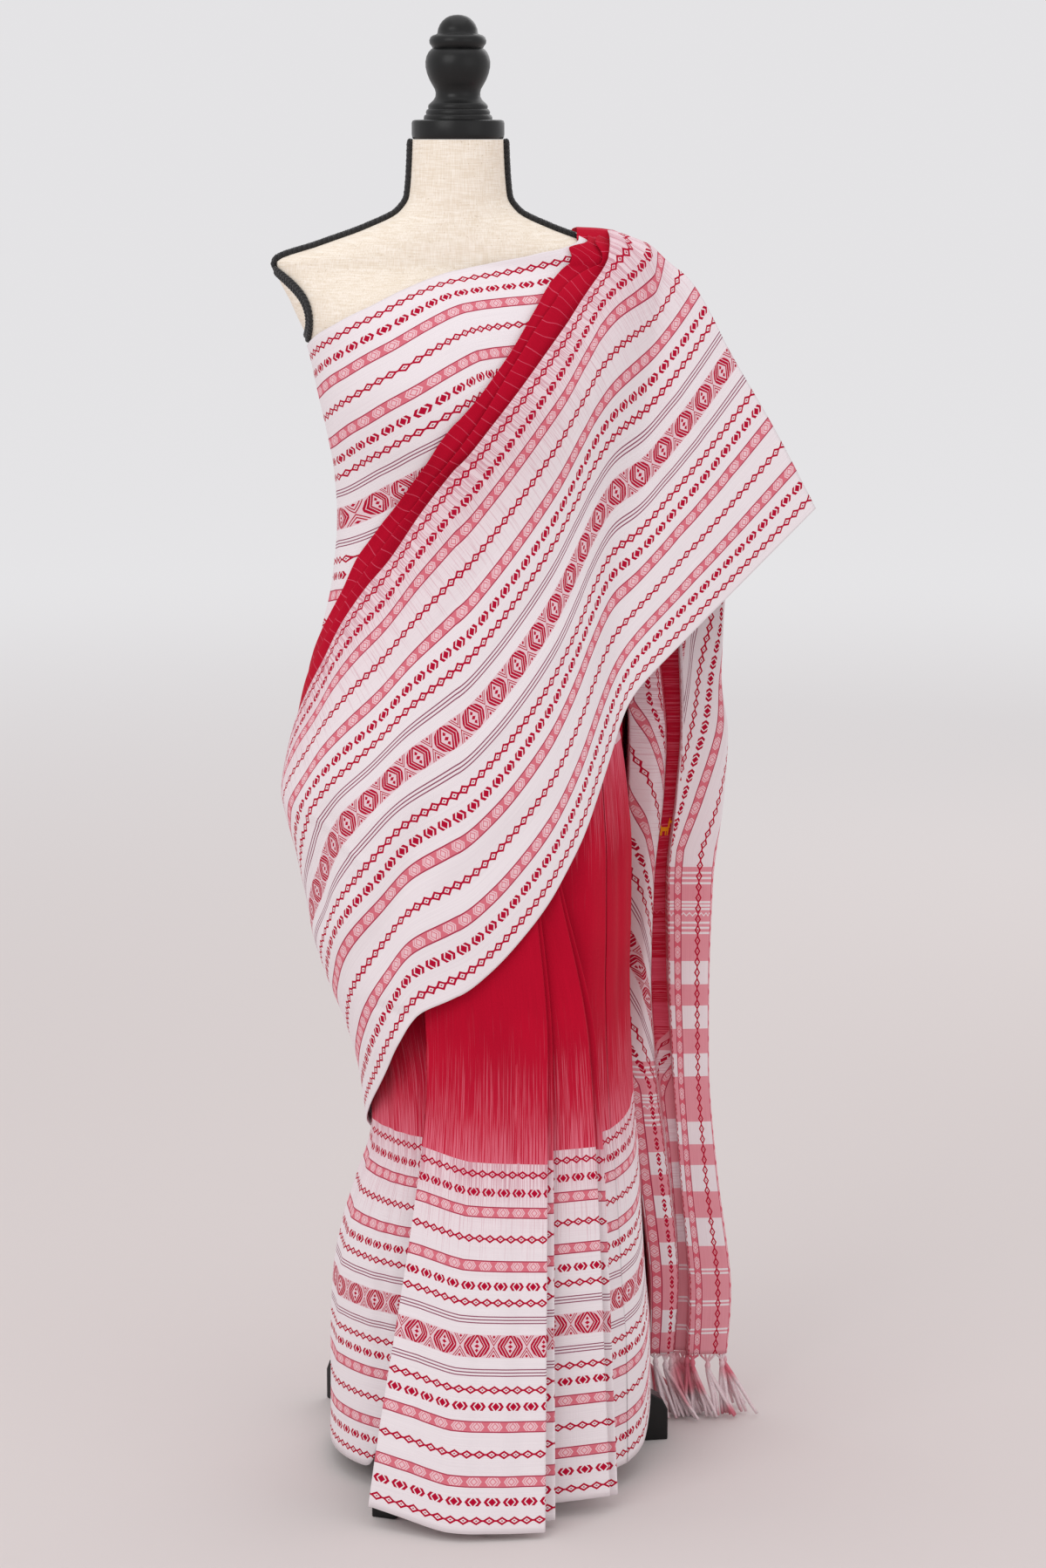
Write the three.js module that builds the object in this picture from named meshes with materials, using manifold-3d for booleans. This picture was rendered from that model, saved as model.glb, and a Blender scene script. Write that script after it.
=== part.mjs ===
// A handloom saree draped on a limbless dress form.
//
// Millimetres, +Z up, +X to the viewer's right, the viewer on the -Y side.
// While it is worked out, the stand's pole is the vertical through x = 0, y = 0
// and the floor is z = 0. At the end the whole is moved so that the origin is
// the middle of its underside.
//
// Cloth is a thin closed wall. A point on the body is given by an angle round
// the pole (0 is the front, +90 the viewer's right), a height and a distance
// out from one of the bodies below.

import * as THREE from 'three';
import { mergeVertices } from 'three/addons/utils/BufferGeometryUtils.js';
import Module from 'manifold-3d';

const wasm = await Module();
wasm.setup();

// Driving sizes
const CLOTH = 1.5;          // wall of the draped cloth
const PLEAT_CLOTH = 1.2;    // wall of the pleated cloth, which lies in many layers
const SEAM = 0.3;           // gap where two pieces meet
const SHARPEST_BEND = 0.72; // cosine of half a bend up to which a wall keeps its thickness
const SQUARENESS = 2.2;     // power of the rounded-square body section
const NECK_TOP = 1475;
const FORM_BASE = 690;
const POLE_RADIUS = 12.5;
const HUB_BASE = 96;
const HUB_TOP = 186;
const HUB_RADIUS = 27;
const LEG_REACH = 238;
const LEG_WIDTH = 28;
const LEG_ANGLES = [100, 220, -20];

// Bodies. Each row is one level: height, half width on the viewer's left and
// right, depth to the front and to the back.
const FORM = [
  [690, 160, 160, 104, 120], [764, 172, 172, 110, 128], [817, 169, 169, 110, 126],
  [875, 160, 160, 106, 116], [940, 147, 147, 99, 104], [1000, 134, 134, 93, 94],
  [1070, 128, 128, 92, 88], [1120, 131, 131, 104, 90], [1160, 138, 138, 120, 94],
  [1205, 148, 148, 128, 100], [1251, 158, 158, 118, 104], [1300, 178, 178, 92, 98],
  [1344, 197, 197, 56, 66], [1362, 150, 150, 56, 66], [1380, 100, 100, 54, 62],
  [1398, 64, 64, 51, 56], [1415, 53, 53, 50, 51], [1450, 50, 50, 49, 50],
  [1475, 49, 49, 48, 49],
];
// The outermost wrap: pallu over the pleats in front, hip wrap behind.
const WRAP = [
  [372, 104, 158, 146, 170], [400, 107, 160, 150, 168], [461, 116, 166, 160, 162],
  [511, 130.5, 172, 165, 160], [560, 150, 178, 168, 158], [630, 171, 186, 168, 156],
  [695, 182, 190, 164, 152], [738, 193, 192, 160, 150], [764, 198, 192, 158, 148],
  [817, 190, 190, 152, 140], [875, 176, 188, 143, 128], [940, 163, 186, 135, 118],
  [1000, 151, 186, 128, 108], [1070, 145, 188, 124, 104], [1120, 148, 190, 130, 106],
  [1160, 155, 192, 140, 110], [1205, 165, 196, 147, 116], [1251, 175, 200, 138, 120],
  [1300, 195, 206, 115, 116], [1344, 214, 216, 84, 88], [1364, 202, 208, 75, 82],
  [1383, 150, 158, 71, 80], [1401, 104, 112, 68, 76],
];
// The second wrap round the hips and back.
const HIP = [
  [20, 160, 216, 205, 190], [151, 160, 214, 198, 184], [208, 158, 209, 190, 180],
  [351, 110, 199, 176, 172], [400, 107, 193, 172, 168], [461, 116, 189, 168, 162],
  [511, 130.5, 187, 165, 160], [560, 150, 186, 160, 158], [630, 171, 187, 152, 156],
  [695, 182, 187, 143, 152], [764, 192, 183, 136, 148], [817, 187, 178, 128, 142],
  [875, 174, 168, 122, 130], [940, 158, 155, 114, 118], [1000, 144, 143, 108, 106],
  [1070, 136, 136, 104, 98], [1120, 138, 138, 110, 98], [1160, 144, 144, 127, 102],
  [1205, 154, 154, 135, 108], [1251, 164, 164, 125, 112],
];
// The first wrap, a plain tube from waist to hem.
const SKIRT = [
  [22, 150, 160, 158, 160], [63, 149, 158, 156, 158], [145, 146, 154, 150, 152],
  [207, 143, 152, 146, 150], [269, 132, 150, 142, 148], [320, 116, 150, 138, 146],
  [381, 99, 150, 134, 144], [461, 104, 152, 128, 142], [511, 119, 154, 124, 140],
  [560, 138, 158, 120, 138], [630, 159, 166, 114, 134], [690, 169, 170, 110, 129],
  [764, 175, 175, 113, 131], [817, 171.5, 171.5, 112.5, 128.5], [875, 162, 162, 108, 118],
  [940, 149, 149, 101, 106], [1000, 136, 136, 95, 96], [1050, 131.6, 131.6, 93.6, 91.5],
];

// Edges of the cloth that lies across the chest, on the body at one angle a row:
// the upper selvedge, the two knife folds, the pallu's border edge and selvedge.
const EDGES = [
  // angle, selvedge, upper fold, lower fold, border edge, lower selvedge
  [-98, 1252, 890, 815, 742, 372], [-90, 1255, 897, 830, 760, 384],
  [-80, 1258, 925, 885, 845, 397], [-70, 1264, 955, 920, 885, 412],
  [-60, 1271, 990, 955, 920, 430], [-50, 1278, 1029, 995, 965, 450],
  [-40, 1287, 1055, 1025, 998, 474], [-28, 1299, 1088, 1060, 1031, 508],
  [-15, 1315, 1128, 1102, 1078, 546], [0, 1335, 1183, 1154, 1133, 568],
  [10, 1346, 1217, 1196, 1180, 595], [20, 1351, 1260, 1240, 1226, 630],
  [30, 1355, 1312, 1288, 1271, 669], [42, 1358, 1342, 1330, 1317, 728],
  [55, 1362, 1358.5, 1355, 1351, 797], [70, 1367, 1364, 1360.5, 1357, 851],
  [90, 1371, 1368, 1363, 1357, 876],
];
const TUCK = 14;            // how far each layer runs on under the next, on the chest
const SHOULDER_TUCK = 3;    // and on top of the shoulder
const CHEST_OUT = 5.6;      // outer faces of the layers, out from the form
const UPPER_FOLD_OUT = 9.6;
const LOWER_FOLD_OUT = 13.2;
const WRAP_RISE = 20;       // how far the outer wrap stands above the form's shoulder
const SIDE_SEAM = -98;      // angle where the front pieces meet the hip wrap
const SIDE_GAP = 0.2;       // degrees from that seam to the front pieces' edges
const SHOULDER_END = 89.6;  // angle where the layers end, on top of the left shoulder
const PALLU_LAST = 62;      // angle of the outer wrap's last column before the cape
const BORDER = 377;         // width of the woven border

// The pallu past the body: a valley that drops from the shoulder, and the ridge
// over which the cloth turns to the back. Rows run from the lower selvedge up.
const CAPE = [
  // width along the cloth, valley x, y, z, ridge x, z
  [0, 185, -62, 877, 391, 1077], [95, 190, -54, 985, 347, 1160],
  [190, 197, -42, 1115, 298, 1243], [285, 210, -26, 1265, 252, 1324],
  [320, 213, -26, 1308, 225, 1347], [345, 210, -22, 1352, 206, 1364],
  [360, 190, -16, 1370, 189, 1371], [377, 161, -10, 1379, 167, 1379],
];
// Rows of the pallu's wall, as shares of its width, closer on the shoulder
const PALLU_ROWS = [0, 0.1, 0.2, 0.3, 0.4, 0.5, 0.6, 0.7, 0.79, 0.86, 0.92, 0.96, 1];
const RIDGE_GAP = 1.8;      // each side of the ridge's middle plane

// The tail: folds across its width, as a share of its spread and of its depth.
const TAIL_FOLDS = [
  [0, 0.02, 0.42], [45, 0, 0.06], [130, 0.28, 0], [215, 0.315, 0.94],
  [237, 0.355, 0.96], [325, 0.385, 0.12], [377, 0.45, 0.07], [415, 0.53, 0.1],
  [502, 0.565, 0.94], [524, 0.605, 0.96], [610, 0.635, 0.16], [645, 0.71, 0.12],
  [730, 0.745, 0.9], [752, 0.785, 0.94], [836, 0.815, 0.16], [866, 0.875, 0.14],
  [950, 0.905, 0.9], [970, 0.94, 0.92], [1054, 0.97, 0.2], [1084, 1, 0.24],
  [1170, 1.015, 0.9],
];
const CLOTH_WIDTH = 1170;
// The tail's upper rows. Gather 0 spreads the cloth evenly, 1 lays it in folds;
// lift is how far up the folds stand; then x, y, z at seven places across.
const TAIL_SHOULDER = [
  { gather: 0, depth: 0, lift: 0,
    at: [[391, 0, 1077], [298, 0, 1243], [254, 0, 1323], [212, 0, 1360], [167, 0, 1379],
      [150, 0, 1381], [128, 0, 1382]] },
  { gather: 0, depth: 1, lift: 75,
    at: [[374, 16, 1072], [290, 18, 1222], [250, 20, 1303], [212, 24, 1343], [172, 30, 1371],
      [150, 36, 1375], [124, 40, 1378]] },
  { gather: 0.1, depth: 8, lift: 40,
    at: [[345, 40, 1050], [270, 48, 1165], [238, 54, 1235], [208, 60, 1290], [180, 64, 1328],
      [150, 78, 1337], [116, 88, 1341]] },
  { gather: 0.5, depth: 40, lift: 5,
    at: [[303, 66, 985], [256, 78, 1050], [236, 90, 1100], [218, 98, 1145], [203, 104, 1180],
      [158, 126, 1190], [112, 128, 1195]] },
  { gather: 1, depth: 80, lift: 0,
    at: [[294, 80, 885], [264, 80, 895], [254, 80, 898], [244, 81, 902], [236, 82, 905],
      [172, 108, 915], [112, 140, 920]] },
];
const ACROSS = [0, 0.16, 0.24, 0.29, 0.32, 0.66, 1];
// Its hanging rows: height, right and left ends, front, depth of the folds.
const TAIL_HANG = [
  [812, 303, 112, 82, 88], [740, 298, 112, 82, 88], [640, 284, 112, 84, 88],
  [540, 281, 116, 88, 86], [430, 284, 126, 92, 84], [303, 296, 140, 98, 82],
  [157, 311, 150, 104, 80], [76, 306, 150, 106, 80],
];
const TAIL_BODY_X = 190;    // left of this the tail steps back round the hips
const TAIL_BODY_SLOPE = 0.98;

// Front pleats. Each row is one turn of the folded cloth, from the piece's inner
// start on the viewer's left to its last fold on the right: its x and y at each
// level, and the height of its hem. A fold is a turn back on itself.
const PLEAT_LEVELS = [8, 500, 660, 800];
const PLEATS = [
  { fold: false, hem: 40, x: [-70, -16, -20, -20], y: [-236, -144.6, -136, -126] },
  { fold: true, hem: 22, x: [-97, -36, -44, -50], y: [-244, -149, -141, -131] },
  { fold: false, hem: 10, x: [-14, 14, 6, -10], y: [-290, -163, -153, -141.5] },
  { fold: false, hem: 8, x: [42, 56, 44, 30], y: [-291, -163.5, -152, -142.5] },
  { fold: true, hem: 7, x: [94, 97, 84, 60], y: [-281, -161, -148.5, -140] },
  { fold: true, hem: 8, x: [12, 40, 26, 10], y: [-266, -157.4, -145.1, -136.6] },
  { fold: true, hem: 9, x: [105, 102, 88, 64], y: [-250, -153.6, -141.6, -133.2] },
  { fold: true, hem: 12, x: [34, 52, 32, 16], y: [-240, -150, -138.2, -129.8] },
  { fold: true, hem: 20, x: [165, 142, 112, 74], y: [-206, -145, -134.4, -126.4] },
  { fold: true, hem: 16, x: [88, 86, 60, 30], y: [-211, -141, -130.8, -123] },
  { fold: true, hem: 14, x: [174, 150, 116, 80], y: [-186, -135, -126.8, -119.6] },
  { fold: true, hem: 14, x: [108, 98, 70, 40], y: [-188, -131, -123, -116.4] },
];
const PLEAT_BEND = [3, 1.6, 1.5, 1.5];  // radius of a fold at each level
const PLEAT_HIP = [46, 58];             // angles where the last pleat lies on the hips
const PLEAT_HIP_HEM = 24;

// The hip wrap's lower and upper edges: angle and height.
const HIP_LOWER = [
  [58, 24], [70, 30], [85, 64], [100, 84], [115, 92], [130, 120], [160, 180],
  [200, 255], [235, 320], [262, 372],
];
const HIP_UPPER = [[58, 1062], [90, 1062], [130, 1090], [180, 1150], [230, 1215], [262, 1252]];

// The form and the first wrap share their columns and upper levels, so that the
// thin gap between them holds between the corners too.
const BODY_COLUMNS = 36;
const FORM_LEVELS = [
  690, 764, 817, 875, 940, 1000, 1050, 1095, 1135, 1165, 1205, 1251, 1276, 1300,
  1324, 1344, 1353, 1362, 1371, 1380, 1389, 1398, 1408, 1420, 1450, 1475,
];
const SKIRT_LEVELS = [
  150, 240, 320, 381, 461, 560, 630, 690, 764, 817, 875, 940, 1000, 1050,
];
const SKIRT_HEM = 22;
const LEG_LIFT = 84;        // how far the first wrap's hem rides up over each leg
const LEG_LIFT_ANGLE = 15;

const FINIAL = [
  [0, 1607], [9, 1605.5], [16, 1601], [20.5, 1594], [22, 1587], [26, 1585.5],
  [30.5, 1581], [30.5, 1576], [27, 1571.5], [31.5, 1568], [34.5, 1561], [35, 1554],
  [33, 1544], [28, 1534], [24, 1527], [24, 1522], [27, 1516], [32, 1512], [32, 1507.5],
  [34.5, 1506], [34.5, 1501.5], [37, 1500], [37, 1496], [50, 1496], [50, 1478],
  [48.5, NECK_TOP + SEAM], [0, NECK_TOP + SEAM],
];
const BRAID_HALF_WIDTH = 8;
const BRAID_THICK = 2.5;
const BRAID_LIFT = 0.4;     // its back, out from the form's curve
const BRAID_LOW = 1350;
const ARM_HEIGHT = 1300;    // middle of the armhole plate
const ARM_HALF_ANGLE = 24;
const ARM_HALF_HEIGHT = 33;
const ARM_RING = 1.19;      // outer size of the piping ring, as a share of the plate
const PLATE_THICK = 2;
const PLATE_LIFT = 0.7;     // its back, out from the form's curve

const STRIP_TOP = 75.7;     // the narrow band that the tassels hang from
const STRIP_BASE = 66;
const STRIP_WALL = 2;
const TASSELS = 34;
const TASSEL_RADIUS = 3.4;
const TASSEL_FOOT = 4.2;    // lowest middle line of a tassel
const TASSEL_SPLAY = [14, 9];   // how far a foot stands out from the strip: middle and range
const TASSEL_SWING = 5;     // and to either side
const TASSEL_DROPS = [3, 31, 57];   // below the strip's top: the root and two bends

const COLOURS = {
  linen: 0xf0e1cd, black: 0x191919, white: 0xf0e8eb, red: 0xc8102d, pink: 0xe6a0ad,
};

const group = new THREE.Group();

const radians = (degrees) => (degrees * Math.PI) / 180;
const mix = (a, b, t) => a + (b - a) * t;

// A smooth curve through (xs, ys) that never overshoots them.
function smooth(xs, ys, x) {
  const last = xs.length - 1;
  if (x <= xs[0]) return ys[0];
  if (x >= xs[last]) return ys[last];
  let i = 0;
  while (x > xs[i + 1]) i += 1;
  const slope = (k) => (ys[k + 1] - ys[k]) / (xs[k + 1] - xs[k]);
  const tangent = (k) => {
    if (k === 0) return slope(0);
    if (k === last) return slope(last - 1);
    const a = slope(k - 1);
    const b = slope(k);
    return a * b <= 0 ? 0 : (2 * a * b) / (a + b);
  };
  const h = xs[i + 1] - xs[i];
  const t = (x - xs[i]) / h;
  const a = (1 + 2 * t) * (1 - t) ** 2 * ys[i] + t * (1 - t) ** 2 * h * tangent(i);
  return a + t * t * (3 - 2 * t) * ys[i + 1] + t * t * (t - 1) * h * tangent(i + 1);
}

const column = (rows, k) => rows.map((row) => row[k]);
const read = (rows, k, x) => smooth(column(rows, 0), column(rows, k), x);

// The point of a body at an angle and height, and the same moved out square to it.
function bodyPoint(body, angle, z) {
  const s = Math.sin(radians(angle));
  const c = Math.cos(radians(angle));
  const width = read(body, s < 0 ? 1 : 2, z);
  const depth = read(body, c > 0 ? 3 : 4, z);
  const power = 2 / SQUARENESS;
  return new THREE.Vector3(
    width * Math.sign(s) * Math.abs(s) ** power,
    -depth * Math.sign(c) * Math.abs(c) ** power,
    z,
  );
}

function offBody(body, angle, z, out) {
  const step = 2;
  const across = bodyPoint(body, angle + step, z).sub(bodyPoint(body, angle - step, z));
  const up = bodyPoint(body, angle, z + step).sub(bodyPoint(body, angle, z - step));
  const normal = across.cross(up).normalize();
  return bodyPoint(body, angle, z).addScaledVector(normal, out);
}

function addMesh(name, geometry, colour, roughness = 0.9) {
  const material = new THREE.MeshStandardMaterial({ color: colour, roughness, metalness: 0 });
  const mesh = new THREE.Mesh(geometry, material);
  mesh.name = name;
  group.add(mesh);
  return mesh;
}

// A closed wall over a grid of points. `at(i, j)` gives a point; i runs along the
// first direction and j along the second, and their cross product points out.
// The wall lies between `outer` and `inner`, both measured out from the points.
function wall({ columns, rows, at, outer = 0, inner = -CLOTH, ring = false, side = 1 }) {
  const grid = [];
  for (let i = 0; i < columns; i += 1) {
    grid.push(Array.from({ length: rows }, (_, j) => at(i, j)));
  }
  const span = ring ? columns : columns - 1;
  const columnAt = (i) => (ring ? (i + columns) % columns : THREE.MathUtils.clamp(i, 0, columns - 1));
  const positions = [];
  const skins = [outer, inner].map((distance) => grid.map((line, i) => line.map((point, j) => {
    const next = grid[columnAt(i + 1)][j];
    const before = grid[columnAt(i - 1)][j];
    const above = line[Math.min(j + 1, rows - 1)];
    const below = line[Math.max(j - 1, 0)];
    const forward = next.clone().sub(point).normalize();
    const back = point.clone().sub(before).normalize();
    const across = forward.clone().add(back);
    const normal = across.cross(above.clone().sub(below)).normalize().multiplyScalar(side);
    const bend = Math.max(SHARPEST_BEND, Math.sqrt((1 + forward.dot(back)) / 2) || 1);
    const moved = point.clone().addScaledVector(normal, distance / bend);
    positions.push(moved.x, moved.y, moved.z);
    return positions.length / 3 - 1;
  })));
  const faces = [];
  const quad = (a, b, c, d) => {
    const order = side > 0 ? [a, b, c, a, c, d] : [a, c, b, a, d, c];
    faces.push(...order);
  };
  const [out, into] = skins;
  for (let i = 0; i < span; i += 1) {
    const k = columnAt(i + 1);
    for (let j = 0; j < rows - 1; j += 1) {
      quad(out[i][j], out[k][j], out[k][j + 1], out[i][j + 1]);
      quad(into[i][j], into[i][j + 1], into[k][j + 1], into[k][j]);
    }
    quad(out[i][0], into[i][0], into[k][0], out[k][0]);
    quad(out[i][rows - 1], out[k][rows - 1], into[k][rows - 1], into[i][rows - 1]);
  }
  if (!ring) {
    for (let j = 0; j < rows - 1; j += 1) {
      quad(out[0][j], out[0][j + 1], into[0][j + 1], into[0][j]);
      quad(out[span][j], into[span][j], into[span][j + 1], out[span][j + 1]);
    }
  }
  const geometry = new THREE.BufferGeometry();
  geometry.setAttribute('position', new THREE.Float32BufferAttribute(positions, 3));
  geometry.setIndex(faces);
  return geometry;
}

// The form: one smooth closed body, and its trims
function buildForm() {
  const columns = BODY_COLUMNS;
  const levels = FORM_LEVELS;
  const positions = [];
  levels.forEach((z) => {
    for (let i = 0; i < columns; i += 1) {
      const point = bodyPoint(FORM, (i * 360) / columns, z);
      positions.push(point.x, point.y, point.z);
    }
  });
  const base = positions.length / 3;
  positions.push(0, 0, FORM_BASE, 0, 0, NECK_TOP);
  const faces = [];
  for (let i = 0; i < columns; i += 1) {
    const k = (i + 1) % columns;
    for (let j = 0; j < levels.length - 1; j += 1) {
      const a = j * columns + i;
      const b = j * columns + k;
      faces.push(a, b, b + columns, a, b + columns, a + columns);
    }
    const top = (levels.length - 1) * columns;
    faces.push(base, k, i);
    faces.push(base + 1, top + i, top + k);
  }
  const geometry = new THREE.BufferGeometry();
  geometry.setAttribute('position', new THREE.Float32BufferAttribute(positions, 3));
  geometry.setIndex(faces);
  addMesh('form_torso', geometry, COLOURS.linen);
}

function turned(profile, segments) {
  const points = profile.map(([radius, z]) => new THREE.Vector2(radius, z)).reverse();
  return new THREE.LatheGeometry(points, segments).rotateX(Math.PI / 2);
}

function buildBraid(name, hand) {
  const levels = FORM_LEVELS.filter((z) => z > BRAID_LOW);
  const places = [-1, 0, 1];
  const at = (i, j) => {
    const z = levels[j];
    const y = places[i] * BRAID_HALF_WIDTH * hand;
    const width = read(FORM, 1, z);
    const depth = read(FORM, y < 0 ? 3 : 4, z);
    const x = hand * width * (1 - (Math.abs(y) / depth) ** SQUARENESS) ** (1 / SQUARENESS);
    return new THREE.Vector3(x, y, z);
  };
  const shape = { columns: 3, rows: levels.length, at, outer: SEAM + BRAID_THICK, inner: BRAID_LIFT };
  addMesh(name, wall(shape), COLOURS.black);
}

// A point of the armhole's oval, at a turn round it and a share of its size.
function armPoint(hand, turn, size, out) {
  const angle = hand * (90 + ARM_HALF_ANGLE * size * Math.cos(turn));
  return offBody(FORM, angle, ARM_HEIGHT + ARM_HALF_HEIGHT * size * Math.sin(turn), out);
}

function buildArmhole(side, hand) {
  const turns = 24;
  const plateSizes = [0.96, 0.7, 0.4];
  const place = (sizes) => (i, j) => armPoint(hand, (i * 2 * Math.PI) / turns, sizes[j], 0);
  const ring = { columns: turns, rows: 2, ring: true, side: hand };
  const skin = { ...ring, at: place([ARM_RING, 1]), outer: SEAM + BRAID_THICK, inner: PLATE_LIFT };
  addMesh(`arm_piping_${side}`, wall(skin), COLOURS.black);
  const positions = [];
  const faces = [];
  [SEAM + PLATE_THICK, PLATE_LIFT].forEach((out) => {
    plateSizes.forEach((size) => {
      for (let i = 0; i < turns; i += 1) {
        positions.push(...armPoint(hand, (i * 2 * Math.PI) / turns, size, out));
      }
    });
    positions.push(...armPoint(hand, 0, 0, out));
  });
  const skinSize = plateSizes.length * turns + 1;
  const triangle = (a, b, c) => faces.push(...(hand > 0 ? [a, c, b] : [a, b, c]));
  for (let i = 0; i < turns; i += 1) {
    const k = (i + 1) % turns;
    for (let j = 0; j < plateSizes.length; j += 1) {
      const a = j * turns + i;
      const b = j * turns + k;
      if (j < plateSizes.length - 1) {
        triangle(a, a + turns, b + turns);
        triangle(a, b + turns, b);
        triangle(skinSize + a, skinSize + b + turns, skinSize + a + turns);
        triangle(skinSize + a, skinSize + b, skinSize + b + turns);
      } else {
        triangle(a, skinSize - 1, b);
        triangle(skinSize + a, skinSize + b, 2 * skinSize - 1);
      }
    }
    triangle(i, k, skinSize + k);
    triangle(i, skinSize + k, skinSize + i);
  }
  const geometry = new THREE.BufferGeometry();
  geometry.setAttribute('position', new THREE.Float32BufferAttribute(positions, 3));
  geometry.setIndex(faces);
  addMesh(`arm_plate_${side}`, geometry, COLOURS.linen);
}

// The stand: pole, hub and three tapered legs
function buildStand() {
  addMesh('finial', turned(FINIAL, 18), COLOURS.black, 0.35);
  const pole = new THREE.CylinderGeometry(POLE_RADIUS, POLE_RADIUS, FORM_BASE - HUB_TOP - 2 * SEAM, 20);
  pole.rotateX(Math.PI / 2);
  pole.translate(0, 0, (FORM_BASE + HUB_TOP) / 2);
  addMesh('stand_pole', pole, COLOURS.black, 0.35);
  const hub = [
    [0, HUB_TOP], [POLE_RADIUS + 6, HUB_TOP], [HUB_RADIUS, HUB_TOP - 10],
    [HUB_RADIUS, HUB_BASE + 6], [HUB_RADIUS - 6, HUB_BASE], [0, HUB_BASE],
  ];
  addMesh('stand_hub', turned(hub, 24), COLOURS.black, 0.35);
  LEG_ANGLES.forEach((angle, index) => {
    const start = HUB_RADIUS + SEAM;
    const side = new THREE.Shape([
      new THREE.Vector2(start, HUB_TOP - 14), new THREE.Vector2(start, HUB_BASE + 12),
      new THREE.Vector2(150, 44), new THREE.Vector2(LEG_REACH - 32, 0),
      new THREE.Vector2(LEG_REACH, 0), new THREE.Vector2(LEG_REACH, 36),
      new THREE.Vector2(LEG_REACH - 6, 48), new THREE.Vector2(150, 96),
    ]);
    const leg = new THREE.ExtrudeGeometry(side, { depth: LEG_WIDTH, bevelEnabled: false });
    leg.translate(0, 0, -LEG_WIDTH / 2);
    leg.rotateX(Math.PI / 2);
    leg.rotateZ(radians(angle - 90));
    addMesh(`leg_${index + 1}`, leg, COLOURS.black, 0.35);
  });
}

// The first wrap, a tube whose hem rides up over the legs
function skirtHem(angle) {
  const lifts = LEG_ANGLES.map((leg) => {
    const away = Math.abs(((angle - leg + 540) % 360) - 180) / LEG_LIFT_ANGLE;
    return LEG_LIFT * Math.exp(-(away ** 4));
  });
  return SKIRT_HEM + Math.max(...lifts);
}

function buildSkirt() {
  const columns = BODY_COLUMNS;
  const rows = SKIRT_LEVELS.length + 1;
  const at = (i, j) => {
    const angle = (i * 360) / columns;
    return bodyPoint(SKIRT, angle, j === 0 ? skirtHem(angle) : SKIRT_LEVELS[j - 1]);
  };
  addMesh('skirt_wrap', wall({ columns, rows, at, ring: true }), COLOURS.red);
}

// Plan of the folded cloth at one height: its turns rounded, then laid on the hip
function pleatPath(z, level) {
  const place = (turn) => new THREE.Vector2(
    smooth(PLEAT_LEVELS, turn.x, z), smooth(PLEAT_LEVELS, turn.y, z),
  );
  const bend = smooth(PLEAT_LEVELS, PLEAT_BEND, z);
  const hips = PLEAT_HIP.map((angle) => bodyPoint(HIP, angle, z));
  const corners = PLEATS.map(place).concat(hips.map((point) => new THREE.Vector2(point.x, point.y)));
  const hems = PLEATS.map((turn) => turn.hem).concat(hips.map(() => PLEAT_HIP_HEM));
  const path = [];
  corners.forEach((corner, k) => {
    const height = mix(hems[k], PLEAT_LEVELS.at(-1), level);
    if (!PLEATS[k]?.fold) {
      path.push({ point: corner, height });
      return;
    }
    const before = corners[k - 1].clone().sub(corner).normalize();
    const after = corners[k + 1].clone().sub(corner).normalize();
    const outward = before.clone().add(after).normalize().negate();
    const sideways = new THREE.Vector2(-outward.y, outward.x);
    if (sideways.dot(before) < sideways.dot(after)) sideways.negate();
    const centre = corner.clone().addScaledVector(outward, -bend);
    path.push({ point: centre.clone().addScaledVector(sideways, bend), height });
    path.push({ point: corner.clone(), height });
    path.push({ point: centre.clone().addScaledVector(sideways, -bend), height });
  });
  return path;
}

function buildPleats() {
  const rows = 12;
  const paths = [];
  for (let j = 0; j < rows; j += 1) {
    const level = j / (rows - 1);
    paths.push(pleatPath(mix(PLEAT_LEVELS[0], PLEAT_LEVELS.at(-1), level), level));
  }
  const at = (i, j) => {
    const { point, height } = paths[j][i];
    return new THREE.Vector3(point.x, point.y, height);
  };
  const half = PLEAT_CLOTH / 2;
  const shape = { columns: paths[0].length, rows, at, outer: half, inner: -half };
  addMesh('front_pleats', wall(shape), COLOURS.red);
}

// The second wrap, from the last pleat round the back to the viewer's left side
function buildHipWrap() {
  const [, start] = PLEAT_HIP;
  const first = start + 0.5;
  const last = 360 + SIDE_SEAM;
  const columns = 23;
  const rows = 17;
  const at = (i, j) => {
    const angle = mix(first, last, i / (columns - 1));
    const z = mix(read(HIP_LOWER, 1, angle), read(HIP_UPPER, 1, angle), j / (rows - 1));
    return bodyPoint(HIP, angle, z);
  };
  addMesh('hip_wrap', wall({ columns, rows, at }), COLOURS.red);
}

// One layer of the cloth across the chest, between two of its edges
function buildLayer({ name, upper, lower, out, rows, colour }) {
  const columns = 30;
  const at = (i, j) => {
    const angle = mix(SIDE_SEAM + SIDE_GAP, SHOULDER_END, i / (columns - 1));
    const tuck = mix(TUCK, SHOULDER_TUCK, THREE.MathUtils.smoothstep(angle, 20, 70));
    const high = read(EDGES, upper, angle);
    const low = read(EDGES, lower, angle) - tuck;
    return offBody(FORM, angle, mix(low, high, j / (rows - 1)), out);
  };
  addMesh(name, wall({ columns, rows, at }), colour);
}

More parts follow.
